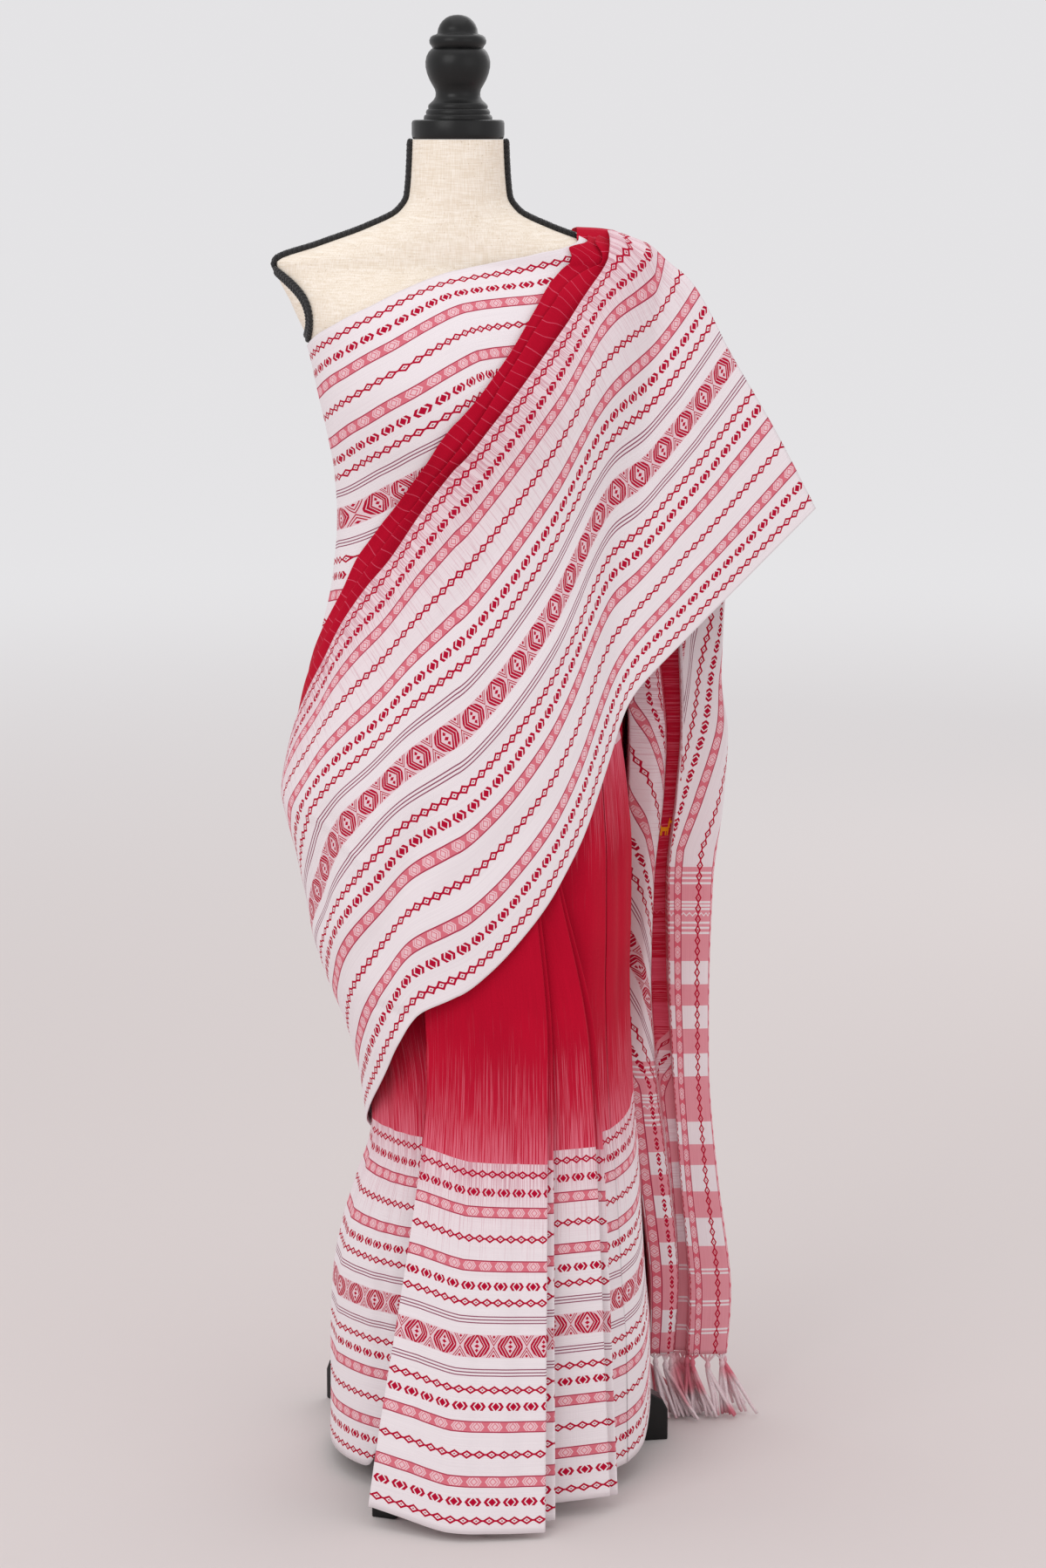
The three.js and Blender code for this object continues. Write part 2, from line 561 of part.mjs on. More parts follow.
// The pallu's spread border, over the body and out along the cape to the ridge
function buildPallu() {
  const bodyColumns = 21;
  const capeColumns = 5;
  const rows = PALLU_ROWS.length;
  const capeLine = (share, t) => {
    const v = share * BORDER;
    const valley = new THREE.Vector3(read(CAPE, 1, v), read(CAPE, 2, v), read(CAPE, 3, v));
    const ridge = new THREE.Vector3(read(CAPE, 4, v), -RIDGE_GAP, read(CAPE, 5, v));
    return valley.lerp(ridge, t);
  };
  const at = (i, j) => {
    const share = PALLU_ROWS[j];
    if (i >= bodyColumns) return capeLine(share, (i - bodyColumns) / (capeColumns - 1));
    const angle = mix(SIDE_SEAM + SIDE_GAP, PALLU_LAST, i / (bodyColumns - 1));
    const edge = read(EDGES, 4, angle);
    const high = edge + WRAP_RISE * THREE.MathUtils.smoothstep(edge, 1280, 1345);
    return bodyPoint(WRAP, angle, mix(read(EDGES, 5, angle), high, share));
  };
  const shape = { columns: bodyColumns + capeColumns, rows, at };
  addMesh('pallu_front', wall(shape), COLOURS.white);
}

// The tail: a row of base points, then folds standing out from it
function tailRows() {
  const hanging = TAIL_HANG.map(([z, right, left, front, depth]) => ({
    gather: 1,
    depth,
    lift: 0,
    at: ACROSS.map((share) => {
      const x = mix(right, left, share);
      return [x, front + Math.max(0, TAIL_BODY_X - x) * TAIL_BODY_SLOPE, z];
    }),
  }));
  return TAIL_SHOULDER.concat(hanging);
}

function tailPoint(row, v) {
  const share = mix(v / CLOTH_WIDTH, read(TAIL_FOLDS, 1, v), row.gather);
  const base = [0, 1, 2].map((k) => smooth(ACROSS, column(row.at, k), share));
  const out = row.depth * read(TAIL_FOLDS, 2, v) + RIDGE_GAP;
  const lift = radians(row.lift);
  return new THREE.Vector3(base[0], base[1] + out * Math.cos(lift), base[2] + out * Math.sin(lift));
}

const tailWidths = TAIL_FOLDS.flatMap(([v], k) => {
  const next = TAIL_FOLDS[k + 1];
  return next ? [v, mix(v, next[0], 0.5)] : [v];
});

function buildTail() {
  const rows = tailRows();
  const at = (i, j) => tailPoint(rows[j], tailWidths[i]);
  const shape = { columns: tailWidths.length, rows: rows.length, at, side: -1 };
  addMesh('pallu_tail', wall(shape), COLOURS.pink);
}

// Closed meshes joined into one
function solid(geometry) {
  const bare = geometry.clone();
  bare.deleteAttribute('normal');
  bare.deleteAttribute('uv');
  const merged = mergeVertices(bare, 1e-4);
  return new wasm.Manifold(new wasm.Mesh({
    numProp: 3,
    vertProperties: new Float32Array(merged.attributes.position.array),
    triVerts: new Uint32Array(merged.index.array),
  }));
}

// The tassels, hung from a narrow strip under the tail's edge
function buildFringe() {
  const rows = tailRows();
  const bottom = rows.at(-1);
  const edge = (v, z) => tailPoint(bottom, v).setZ(z);
  const heights = [STRIP_TOP, STRIP_BASE];
  const at = (i, j) => edge(tailWidths[i], heights[j]);
  const shape = { columns: tailWidths.length, rows: 2, at, side: -1, inner: -STRIP_WALL };
  let fringe = solid(wall(shape));
  const triangle = new THREE.Shape([0, 1, 2].map((k) => new THREE.Vector2(
    TASSEL_RADIUS * Math.cos((k * 2 * Math.PI) / 3), TASSEL_RADIUS * Math.sin((k * 2 * Math.PI) / 3),
  )));
  const middle = edge(CLOTH_WIDTH / 2, 0);
  for (let k = 0; k < TASSELS; k += 1) {
    const [rootDrop, firstDrop, secondDrop] = TASSEL_DROPS;
    const root = edge(((k + 0.5) * CLOTH_WIDTH) / TASSELS, STRIP_TOP - rootDrop);
    const away = root.clone().sub(middle).setZ(0).normalize();
    // Uneven but repeatable: each tassel takes its own point of two waves
    const splay = TASSEL_SPLAY[0] + TASSEL_SPLAY[1] * Math.sin(k * 2.3);
    const swing = TASSEL_SWING * Math.sin(k * 4.1);
    const bend = (out, side, z) => root.clone().addScaledVector(away, out)
      .add(new THREE.Vector3(side, 0, 0)).setZ(z);
    const path = new THREE.CatmullRomCurve3([
      root,
      bend(2, 0, STRIP_TOP - firstDrop),
      bend(splay * 0.45, swing, STRIP_TOP - secondDrop),
      bend(splay, swing, TASSEL_FOOT),
    ]);
    const strand = new THREE.ExtrudeGeometry(triangle, { steps: 3, extrudePath: path });
    fringe = fringe.add(solid(strand));
  }
  const { vertProperties, triVerts } = fringe.getMesh();
  const geometry = new THREE.BufferGeometry();
  geometry.setAttribute('position', new THREE.Float32BufferAttribute(vertProperties, 3));
  geometry.setIndex(new THREE.Uint32BufferAttribute(triVerts, 1));
  addMesh('fringe', geometry, COLOURS.pink);
}

buildForm();
buildStand();
buildBraid('braid_right', -1);
buildBraid('braid_left', 1);
buildArmhole('right', -1);
buildArmhole('left', 1);
buildSkirt();
buildPleats();
buildHipWrap();
buildLayer({ name: 'chest_border', upper: 1, lower: 2, out: CHEST_OUT, rows: 9, colour: COLOURS.white });
const redFold = { rows: 3, colour: COLOURS.red };
buildLayer({ ...redFold, name: 'red_fold_upper', upper: 2, lower: 3, out: UPPER_FOLD_OUT });
buildLayer({ ...redFold, name: 'red_fold_lower', upper: 3, lower: 4, out: LOWER_FOLD_OUT });
buildPallu();
buildTail();
buildFringe();

// The origin goes to the middle of the underside.
const bounds = new THREE.Box3().setFromObject(group);
const middle = bounds.getCenter(new THREE.Vector3());
group.position.set(-middle.x, -middle.y, -bounds.min.z);
group.updateMatrixWorld(true);

export default group;
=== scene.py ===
# %% [markdown]
# # A handloom saree on a dress form
#
# The object is one long length of handwoven cotton, draped on a limbless dress
# form on a three-legged stand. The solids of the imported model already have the
# draped shape. This lesson dresses them: each stretch of cloth becomes a thin
# sheet on its solid's form, with its creases, and its own flat measure painted
# on it as a UV map, so that woven bands run along the cloth wherever it turns.

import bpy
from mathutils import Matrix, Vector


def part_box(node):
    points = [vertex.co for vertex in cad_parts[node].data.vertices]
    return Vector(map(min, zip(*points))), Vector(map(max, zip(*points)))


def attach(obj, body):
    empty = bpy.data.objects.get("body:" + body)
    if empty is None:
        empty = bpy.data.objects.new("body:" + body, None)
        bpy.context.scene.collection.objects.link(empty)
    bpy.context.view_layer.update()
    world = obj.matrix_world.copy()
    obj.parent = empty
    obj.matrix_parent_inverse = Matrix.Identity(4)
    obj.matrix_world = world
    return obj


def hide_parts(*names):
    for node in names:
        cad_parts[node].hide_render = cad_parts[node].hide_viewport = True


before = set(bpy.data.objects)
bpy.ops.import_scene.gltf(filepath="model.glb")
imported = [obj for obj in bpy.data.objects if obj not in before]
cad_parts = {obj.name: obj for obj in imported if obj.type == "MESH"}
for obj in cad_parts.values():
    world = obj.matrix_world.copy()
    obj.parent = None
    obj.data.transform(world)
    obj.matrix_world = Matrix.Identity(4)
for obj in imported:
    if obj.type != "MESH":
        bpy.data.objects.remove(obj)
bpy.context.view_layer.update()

import math

import bpy
import numpy as np
from mathutils import Vector

bpy.ops.object.select_all(action="DESELECT")

# %% [markdown]
# ## One frame for every piece
#
# The drape is worked out in millimetres round the stand's pole, as the solids
# were. The pole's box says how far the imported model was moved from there.

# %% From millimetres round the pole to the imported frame
POLE_BOX = np.array([list(corner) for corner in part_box("stand_pole")])
SHIFT = np.array([*POLE_BOX.mean(axis=0)[:2], 0.0])


def packed(points):
    """Points in millimetres round the pole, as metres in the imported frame."""
    return np.asarray(points, float) / 1000 + SHIFT


print("moved by", np.round(SHIFT * 1000, 3))

# %% [markdown]
# ## Camera
#
# The photograph is upright and was taken from about 4.1 m away at the height of
# the form's neck, looking slightly down. A long lens keeps the sides parallel.

# %% Camera
camera_data = bpy.data.cameras.new("camera")
camera_data.sensor_width = 36
camera_data.lens = 4300 / 1798 * 36
camera = bpy.data.objects.new("camera", camera_data)
camera.location = packed([70, -4100, 1475])
camera.rotation_euler = (math.radians(90 - 9.75), 0, 0)
bpy.context.collection.objects.link(camera)
bpy.context.scene.camera = camera
print("camera at", np.round(camera.location, 3))

# %% [markdown]
# ## The bodies under the cloth
#
# A dress form is padded and smooth, so one table of widths and depths by height
# gives its shape. The same kind of table gives each wrap of cloth round it.

# %% Bodies: height, half width left and right, depth in front and behind, in mm
FORM = np.array([
    [690, 160, 160, 104, 120], [764, 172, 172, 110, 128], [817, 169, 169, 110, 126],
    [875, 160, 160, 106, 116], [940, 147, 147, 99, 104], [1000, 134, 134, 93, 94],
    [1070, 128, 128, 92, 88], [1120, 131, 131, 104, 90], [1160, 138, 138, 120, 94],
    [1205, 148, 148, 128, 100], [1251, 158, 158, 118, 104], [1300, 178, 178, 92, 98],
    [1344, 197, 197, 56, 66], [1362, 150, 150, 56, 66], [1380, 100, 100, 54, 62],
    [1398, 64, 64, 51, 56], [1415, 53, 53, 50, 51], [1450, 50, 50, 49, 50],
    [1475, 49, 49, 48, 49],
])
WRAP = np.array([
    [372, 104, 158, 146, 170], [400, 107, 160, 150, 168], [461, 116, 166, 160, 162],
    [511, 130.5, 172, 165, 160], [560, 150, 178, 168, 158], [630, 171, 186, 168, 156],
    [695, 182, 190, 164, 152], [738, 193, 192, 160, 150], [764, 198, 192, 158, 148],
    [817, 190, 190, 152, 140], [875, 176, 188, 143, 128], [940, 163, 186, 135, 118],
    [1000, 151, 186, 128, 108], [1070, 145, 188, 124, 104], [1120, 148, 190, 130, 106],
    [1160, 155, 192, 140, 110], [1205, 165, 196, 147, 116], [1251, 175, 200, 138, 120],
    [1300, 195, 206, 115, 116], [1344, 214, 216, 84, 88], [1364, 202, 208, 75, 82],
    [1383, 150, 158, 71, 80], [1401, 104, 112, 68, 76],
])
HIP = np.array([
    [20, 160, 216, 205, 190], [151, 160, 214, 198, 184], [208, 158, 209, 190, 180],
    [351, 110, 199, 176, 172], [400, 107, 193, 172, 168], [461, 116, 189, 168, 162],
    [511, 130.5, 187, 165, 160], [560, 150, 186, 160, 158], [630, 171, 187, 152, 156],
    [695, 182, 187, 143, 152], [764, 192, 183, 136, 148], [817, 187, 178, 128, 142],
    [875, 174, 168, 122, 130], [940, 158, 155, 114, 118], [1000, 144, 143, 108, 106],
    [1070, 136, 136, 104, 98], [1120, 138, 138, 110, 98], [1160, 144, 144, 127, 102],
    [1205, 154, 154, 135, 108], [1251, 164, 164, 125, 112],
])
SKIRT = np.array([
    [22, 150, 160, 158, 160], [63, 149, 158, 156, 158], [145, 146, 154, 150, 152],
    [207, 143, 152, 146, 150], [269, 132, 150, 142, 148], [320, 116, 150, 138, 146],
    [381, 99, 150, 134, 144], [461, 104, 152, 128, 142], [511, 119, 154, 124, 140],
    [560, 138, 158, 120, 138], [630, 159, 166, 114, 134], [690, 169, 170, 110, 129],
    [764, 175, 175, 113, 131], [817, 171.5, 171.5, 112.5, 128.5], [875, 162, 162, 108, 118],
    [940, 149, 149, 101, 106], [1000, 136, 136, 95, 96], [1050, 131.6, 131.6, 93.6, 91.5],
])
SQUARENESS = 2.2
print("shoulders", 2 * FORM[:, 1].max(), "mm wide")


# %% Read a body at any height and angle
def smooth(xs, ys, x):
    """A smooth curve through (xs, ys) that never overshoots them."""
    xs, ys = np.asarray(xs, float), np.asarray(ys, float)
    x = np.clip(x, xs[0], xs[-1])
    slope = np.diff(ys) / np.diff(xs)
    tangent = np.concatenate([slope[:1], slope[1:], slope[-1:]])
    before, after = slope[:-1], slope[1:]
    level = before * after <= 0
    tangent[1:-1] = np.where(level, 0, 2 * before * after / np.where(level, 1, before + after))
    i = np.clip(np.searchsorted(xs, x) - 1, 0, len(xs) - 2)
    h = xs[i + 1] - xs[i]
    t = (x - xs[i]) / h
    first = (1 + 2 * t) * (1 - t) ** 2 * ys[i] + t * (1 - t) ** 2 * h * tangent[i]
    return first + t * t * (3 - 2 * t) * ys[i + 1] + t * t * (t - 1) * h * tangent[i + 1]


def read(table, column, x):
    """One column of a table, read smoothly at x."""
    table = np.asarray(table, float)
    return smooth(table[:, 0], table[:, column], x)


def body_point(body, angle, z):
    """The point of a body at an angle round the pole, 0 in front, and a height."""
    angle, z = np.broadcast_arrays(np.radians(angle), np.asarray(z, float))
    s, c = np.sin(angle), np.cos(angle)
    width = np.where(s < 0, read(body, 1, z), read(body, 2, z))
    depth = np.where(c > 0, read(body, 3, z), read(body, 4, z))
    power = 2 / SQUARENESS
    x = width * np.sign(s) * np.abs(s) ** power
    y = -depth * np.sign(c) * np.abs(c) ** power
    return np.stack([x, y, z], axis=-1)


def off_body(body, angle, z, out):
    """The same point, moved out square to the body."""
    step = 2
    across = body_point(body, angle + step, z) - body_point(body, angle - step, z)
    up = body_point(body, angle, z + step) - body_point(body, angle, z - step)
    normal = np.cross(across, up)
    normal /= np.linalg.norm(normal, axis=-1, keepdims=True)
    return body_point(body, angle, z) + normal * out


print("waist", 2 * read(FORM, 1, 1070.0), "mm wide")

# %% [markdown]
# ## Sheets of cloth
#
# A sheet is a grid of points. Its long creases are listed as soft troughs
# and ridges: each has a path, a depth and a width, and fades out at its ends.
# Solidify then gives the grid the cloth's thickness.

# %% Grid helpers
CLOTH_THICK = 0.7


def grid_normals(points):
    """Unit normals of a grid of points, out of the body when rows run up."""
    normal = np.cross(np.gradient(points, axis=0), np.gradient(points, axis=1))
    return normal / np.maximum(np.linalg.norm(normal, axis=-1, keepdims=True), 1e-9)


def fade(low, high, x):
    """0 below low, 1 above high, and a soft step between."""
    t = np.clip((x - low) / (high - low), 0, 1)
    return t * t * (3 - 2 * t)


def crease_height(a, b, creases):
    """How far the given creases lift the cloth at plan points (a, b), in mm."""
    total = np.zeros(np.shape(a))
    for height, width, path in creases:
        path = np.array(path, float)
        lengths = np.linalg.norm(np.diff(path, axis=0), axis=1)
        starts = np.concatenate([[0], np.cumsum(lengths)])
        nearest = np.full(np.shape(a), np.inf)
        along = np.zeros(np.shape(a))
        for k, length in enumerate(lengths):
            way = (path[k + 1] - path[k]) / length
            t = np.clip((a - path[k, 0]) * way[0] + (b - path[k, 1]) * way[1], 0, length)
            off = np.hypot(a - path[k, 0] - t * way[0], b - path[k, 1] - t * way[1])
            closer = off < nearest
            nearest = np.where(closer, off, nearest)
            along = np.where(closer, starts[k] + t, along)
        share = along / starts[-1]
        ends = fade(0, 0.3, share) * (1 - fade(0.7, 1, share))
        total += height * ends * np.exp(-((nearest / width) ** 2))
    return total


def arc_length(points, axis=0):
    """Length along one direction of a grid, from its first point."""
    steps = np.linalg.norm(np.diff(points, axis=axis), axis=-1)
    start = np.zeros_like(np.take(steps, [0], axis=axis))
    return np.concatenate([start, np.cumsum(steps, axis=axis)], axis=axis)


print("a fade is half way at", fade(0, 1, 0.5))


# %% Finish a piece, and make a sheet
def finish_piece(piece, material, nodes=(), body="root"):
    """Gives a piece its material, its body and the solids it stands for."""
    piece.data.materials.clear()
    piece.data.materials.append(material)
    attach(piece, body)
    if nodes:
        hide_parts(*nodes)


def apply_modifier(piece, kind, **settings):
    """Adds one modifier, sets it and applies it, as its panel's Apply does."""
    bpy.ops.object.select_all(action="DESELECT")
    bpy.context.view_layer.objects.active = piece
    piece.select_set(True)
    modifier = piece.modifiers.new(kind.lower(), kind)
    for name, value in settings.items():
        setattr(modifier, name, value)
    bpy.ops.object.modifier_apply(modifier=modifier.name)


def cloth_sheet(name, points, u, v, side=1, ring=False):
    """A thin sheet over a grid; u runs along the saree and v from its lower selvedge."""
    columns, rows = points.shape[:2]
    index = np.arange(columns * rows).reshape(columns, rows)
    if ring:
        index = np.concatenate([index, index[:1]], axis=0)
        u = np.concatenate([u, u[-1:] + (u[1:2] - u[:1])], axis=0)
        v = np.concatenate([v, v[:1]], axis=0)
    corners = [index[:-1, :-1], index[1:, :-1], index[1:, 1:], index[:-1, 1:]]
    u_corners = [u[:-1, :-1], u[1:, :-1], u[1:, 1:], u[:-1, 1:]]
    v_corners = [v[:-1, :-1], v[1:, :-1], v[1:, 1:], v[:-1, 1:]]
    order = [0, 1, 2, 3] if side > 0 else [3, 2, 1, 0]
    faces = np.stack([corners[k] for k in order], axis=-1).reshape(-1, 4)
    flat_u = np.stack([u_corners[k] for k in order], axis=-1).reshape(-1)
    flat_v = np.stack([v_corners[k] for k in order], axis=-1).reshape(-1)
    mesh = bpy.data.meshes.new(name)
    mesh.from_pydata(packed(points).reshape(-1, 3).tolist(), [], faces.tolist())
    layer = mesh.uv_layers.new(name="cloth")
    layer.data.foreach_set("uv", np.stack([flat_u, flat_v], axis=-1).reshape(-1) / 1000)
    mesh.polygons.foreach_set("use_smooth", [True] * len(mesh.polygons))
    piece = bpy.data.objects.new(name, mesh)
    bpy.context.collection.objects.link(piece)
    apply_modifier(piece, "SOLIDIFY", thickness=CLOTH_THICK / 1000, offset=-1)
    print(name, len(piece.data.polygons), "faces,", np.ptp(u).round(), "mm of cloth")
    return piece


# %% [markdown]
# ## Nodes for every finish
#
# Each finish is a small net of shader nodes. One function adds a node, sets its
# options, and sets or links its sockets.

# %% One function adds a node
def add(tree, kind, *values, **settings):
    """A shader node with its settings; values go to its sockets in turn."""
    node = tree.nodes.new("ShaderNode" + kind)
    named = settings.pop("sockets", {})
    for name, value in settings.items():
        setattr(node, name, value)
    shown = [socket for socket in node.inputs if socket.enabled]
    pairs = list(zip(shown, values)) + [(node.inputs[key], named[key]) for key in named]
    for socket, value in pairs:
        if isinstance(value, bpy.types.Node):
            value = next(output for output in value.outputs if output.enabled)
        if isinstance(value, bpy.types.NodeSocket):
            tree.links.new(value, socket)
        elif value is not None:
            socket.default_value = value
    return node


def colour(hex_code):
    """An sRGB colour such as C8102D as the linear values that Blender uses."""
    values = [int(hex_code[k:k + 2], 16) / 255 for k in (0, 2, 4)]
    return (*[v / 12.92 if v <= 0.04045 else ((v + 0.055) / 1.055) ** 2.4 for v in values], 1)


def new_material(name):
    """A material with an empty node tree."""
    material = bpy.data.materials.new(name)
    material.use_nodes = True
    material.node_tree.nodes.clear()
    return material, material.node_tree


# %% [markdown]
# ## Handloom cotton with patterned borders
#
# The real cloth is plain-woven cotton, yarn-dyed before weaving. The field has
# red warp and weft. The borders have white warp with extra threads that draw
# bands of small figures. The field starts on a straight line, with streaks of
# unevenly dyed yarn on both sides of it. To the eye the cloth is matt, with fine
# ribs. All of that follows its flat measure: u metres along the saree, v metres
# up from its lower selvedge. Each figure is a mask, 1 inside and 0 outside.

# %% Bands of the border, in mm from the border's middle
CHAIN_BANDS = [44.25, 109.5, 176.5]
ARROW_BANDS = [61.0, 157.5]
PINK_BANDS = [81.5, 137.0]
LINE_BAND = 26.75
BORDER = 380
CUT_WIDTH = 1170
# A small woven deer in the field: boxes of (u, v, half u, half v) in mm
DEER_AT = (628, 446)
DEER = [
    (0, 0, 2.4, 5.0), (5.0, -4.6, 3.6, 1.2), (8.4, -6.2, 1.4, 2.4), (11.2, -4.6, 1.6, 0.6),
    (-4.6, -4.0, 2.8, 0.8), (-4.6, -1.6, 2.8, 0.6), (-4.6, 3.0, 2.8, 0.6),
    (-4.6, 4.6, 2.8, 0.8), (3.0, 5.4, 1.2, 0.9),
]
# Cross stripes of the saree's end: mm from the end, and 1 for white weft
END_STRIPES = [
    (0, 0), (23, 1), (25.5, 0), (28, 1), (30.5, 0), (58, 1), (60.5, 0), (63, 1), (65.5, 0),
    (97, 1), (99.5, 0), (102, 1), (104.5, 0), (131, 1), (166, 0), (198, 1), (231, 0),
    (256, 1), (283, 0), (338, 1), (366, 0), (396, 1), (423, 0), (447, 1), (475, 0),
]
END_LINES = [509, 515, 521, 537, 541, 545, 567, 573, 579]
END_LENGTH = 586


print("bands", len(CHAIN_BANDS + ARROW_BANDS + PINK_BANDS) * 2 + 3, "on each border")


# %% Masks put together from others
def nearest_band(tree, value, centres):
    """How far a value is from the nearest of several band centres."""
    best = None
    for centre in centres:
        off = add(tree, "Math", value, centre, operation="SUBTRACT")
        off = add(tree, "Math", off, operation="ABSOLUTE")
        best = off if best is None else add(tree, "Math", best, off, operation="MINIMUM")
    return best


def all_of(tree, *masks):
    """1 where every mask is 1."""
    total = masks[0]
    for mask in masks[1:]:
        total = add(tree, "Math", total, mask, operation="MULTIPLY")
    return total


def any_of(tree, *masks):
    """1 where at least one mask is 1."""
    total = masks[0]
    for mask in masks[1:]:
        total = add(tree, "Math", total, mask, operation="MAXIMUM")
    return total


def diamond(tree, across, along, half_across, half_along):
    """A diamond's measure: 0 at its middle and 1 on its outline."""
    part = add(tree, "Math", across, 1 / half_across, operation="MULTIPLY")
    return add(tree, "Math", along, 1 / half_along, part, operation="MULTIPLY_ADD")


# %% Chains and arrow heads
CHAIN_HALF, ARROW_HALF = 6.25, 9.35


def chain_figures(tree, u, w):
    """Linked eyes, each with a dot in its middle."""
    across = add(tree, "Math", u, CHAIN_HALF, operation="PINGPONG")
    band = nearest_band(tree, w, CHAIN_BANDS)
    eye = diamond(tree, across, band, 6.6, 4.3)
    outline = add(tree, "Math", eye, 0.77, 0.27, operation="COMPARE")
    dot = add(tree, "Math", eye, 0.2, operation="LESS_THAN")
    link = all_of(tree, add(tree, "Math", band, 1.0, operation="LESS_THAN"),
                  add(tree, "Math", across, 4.6, operation="GREATER_THAN"))
    return any_of(tree, outline, dot, link)


def arrow_figures(tree, u, w):
    """Arrow heads either side of a diamond."""
    across = add(tree, "Math", u, ARROW_HALF, operation="PINGPONG")
    band = nearest_band(tree, w, ARROW_BANDS)
    head = add(tree, "Math", band, 0.75, across, operation="MULTIPLY_ADD")
    heads = all_of(tree, add(tree, "Math", head, 6.8, 1.6, operation="COMPARE"),
                   add(tree, "Math", band, 4.2, operation="LESS_THAN"))
    gem = add(tree, "Math", diamond(tree, across, band, 3.9, 4.2), 1, operation="LESS_THAN")
    return any_of(tree, heads, gem)


print("chain repeats every", 2 * CHAIN_HALF, "mm, arrows every", 2 * ARROW_HALF, "mm")


# %% Rose bands and thin lines
def rose_band(tree, u, w):
    """The band's fill, its thin dark edge, and the white figures on it."""
    across = add(tree, "Math", u, ARROW_HALF, operation="PINGPONG")
    band = nearest_band(tree, w, PINK_BANDS)
    fill = add(tree, "Math", band, 5.9, operation="LESS_THAN")
    edge = add(tree, "Math", band, 5.3, 0.5, operation="COMPARE")
    head = add(tree, "Math", band, 0.75, across, operation="MULTIPLY_ADD")
    pale_shape = all_of(tree, add(tree, "Math", head, 7.8, operation="LESS_THAN"),
                        add(tree, "Math", band, 4.2, operation="LESS_THAN"))
    ring = add(tree, "Math", diamond(tree, across, band, 3.7, 4.0), 0.88, 0.15,
               operation="COMPARE")
    drawn = any_of(tree, ring, add(tree, "Math", head, 5.9, 0.4, operation="COMPARE"))
    figures = add(tree, "Math", pale_shape, drawn, operation="SUBTRACT", use_clamp=True)
    return fill, edge, figures


def thin_lines(tree, w):
    """Three thin lines side by side."""
    off = nearest_band(tree, w, [LINE_BAND])
    return any_of(tree, add(tree, "Math", off, 0.62, operation="LESS_THAN"),
                  add(tree, "Math", off, 3.2, 0.6, operation="COMPARE"))


print("rose bands at", PINK_BANDS, "mm, lines at", LINE_BAND, "mm from the border's middle")

# %% Medallions
MEDALLION_HALF = 18.35


def medallion_figures(tree, u, w):
    """Ovals of slanted bars round a white diamond, with chevrons between them."""
    across = add(tree, "Math", u, MEDALLION_HALF, operation="PINGPONG")
    oval_u = add(tree, "Math", across, 1 / 14.2, operation="MULTIPLY")
    oval_v = add(tree, "Math", w, 1 / 11.4, operation="MULTIPLY")
    oval_vv = add(tree, "Math", oval_v, 2, operation="POWER")
    oval = add(tree, "Math", oval_u, oval_u, oval_vv, operation="MULTIPLY_ADD")
    slant = add(tree, "Math", w, 0.62, across, operation="MULTIPLY_ADD")
    bars = add(tree, "Math", add(tree, "Math", slant, 1.75, operation="PINGPONG"), 1.36,
               operation="LESS_THAN")
    frame_d = diamond(tree, across, w, 6.6, 9.6)
    outside = all_of(tree, bars, add(tree, "Math", frame_d, 1, operation="GREATER_THAN"),
                     add(tree, "Math", oval, 1, operation="LESS_THAN"))
    lozenge_v = add(tree, "Math", w, 2.3, operation="PINGPONG")
    lozenge = diamond(tree, across, lozenge_v, 3.4, 2.3)
    inner = all_of(tree, add(tree, "Math", lozenge, 0.85, operation="LESS_THAN"),
                   add(tree, "Math", frame_d, 0.72, operation="LESS_THAN"))
    # Chevrons that point to the band's middle fill the space between two ovals
    between = add(tree, "Math", MEDALLION_HALF, across, operation="SUBTRACT")
    vee = add(tree, "Math", between, -1.5, w, operation="MULTIPLY_ADD")
    vee_lines = any_of(tree, add(tree, "Math", vee, 0.9, 0.8, operation="COMPARE"),
                       add(tree, "Math", vee, 4.4, 0.8, operation="COMPARE"))
    vees = all_of(tree, vee_lines, add(tree, "Math", w, 11.4, operation="LESS_THAN"),
                  add(tree, "Math", oval, 1.12, operation="GREATER_THAN"))
    top_gap = add(tree, "Math", w, 9.6, operation="SUBTRACT")
    top_gap = add(tree, "Math", top_gap, operation="ABSOLUTE")
    spot = add(tree, "Math", diamond(tree, between, top_gap, 1.7, 1.7), 1, operation="LESS_THAN")
    return any_of(tree, outside, inner, vees, spot)


print("a medallion every", 2 * MEDALLION_HALF, "mm")


# %% The end piece's cross stripes
def end_stripes(tree, u, v):
    """White weft in the end piece: broad stripes, thin lines and one zigzag."""
    ramp = add(tree, "ValToRGB", add(tree, "Math", u, END_LENGTH, operation="DIVIDE"))
    ramp.color_ramp.interpolation = "CONSTANT"
    for k, (start, white) in enumerate(END_STRIPES):
        stops = ramp.color_ramp.elements
        stop = stops[0] if k == 0 else stops[1] if k == 1 else stops.new(start / END_LENGTH)
        stop.position = start / END_LENGTH
        stop.color = (white, white, white, 1)
    line = add(tree, "Math", nearest_band(tree, u, END_LINES), 1.3, operation="LESS_THAN")
    wave = add(tree, "Math", v, 4.0, operation="PINGPONG")
    wave_place = add(tree, "Math", wave, 0.9, 529.0, operation="MULTIPLY_ADD")
    zigzag = add(tree, "Math", u, wave_place, 0.9, operation="COMPARE")
    return any_of(tree, ramp, line, zigzag)


print("end piece", END_LENGTH, "mm long, with", len(END_STRIPES) // 2, "white stripes")


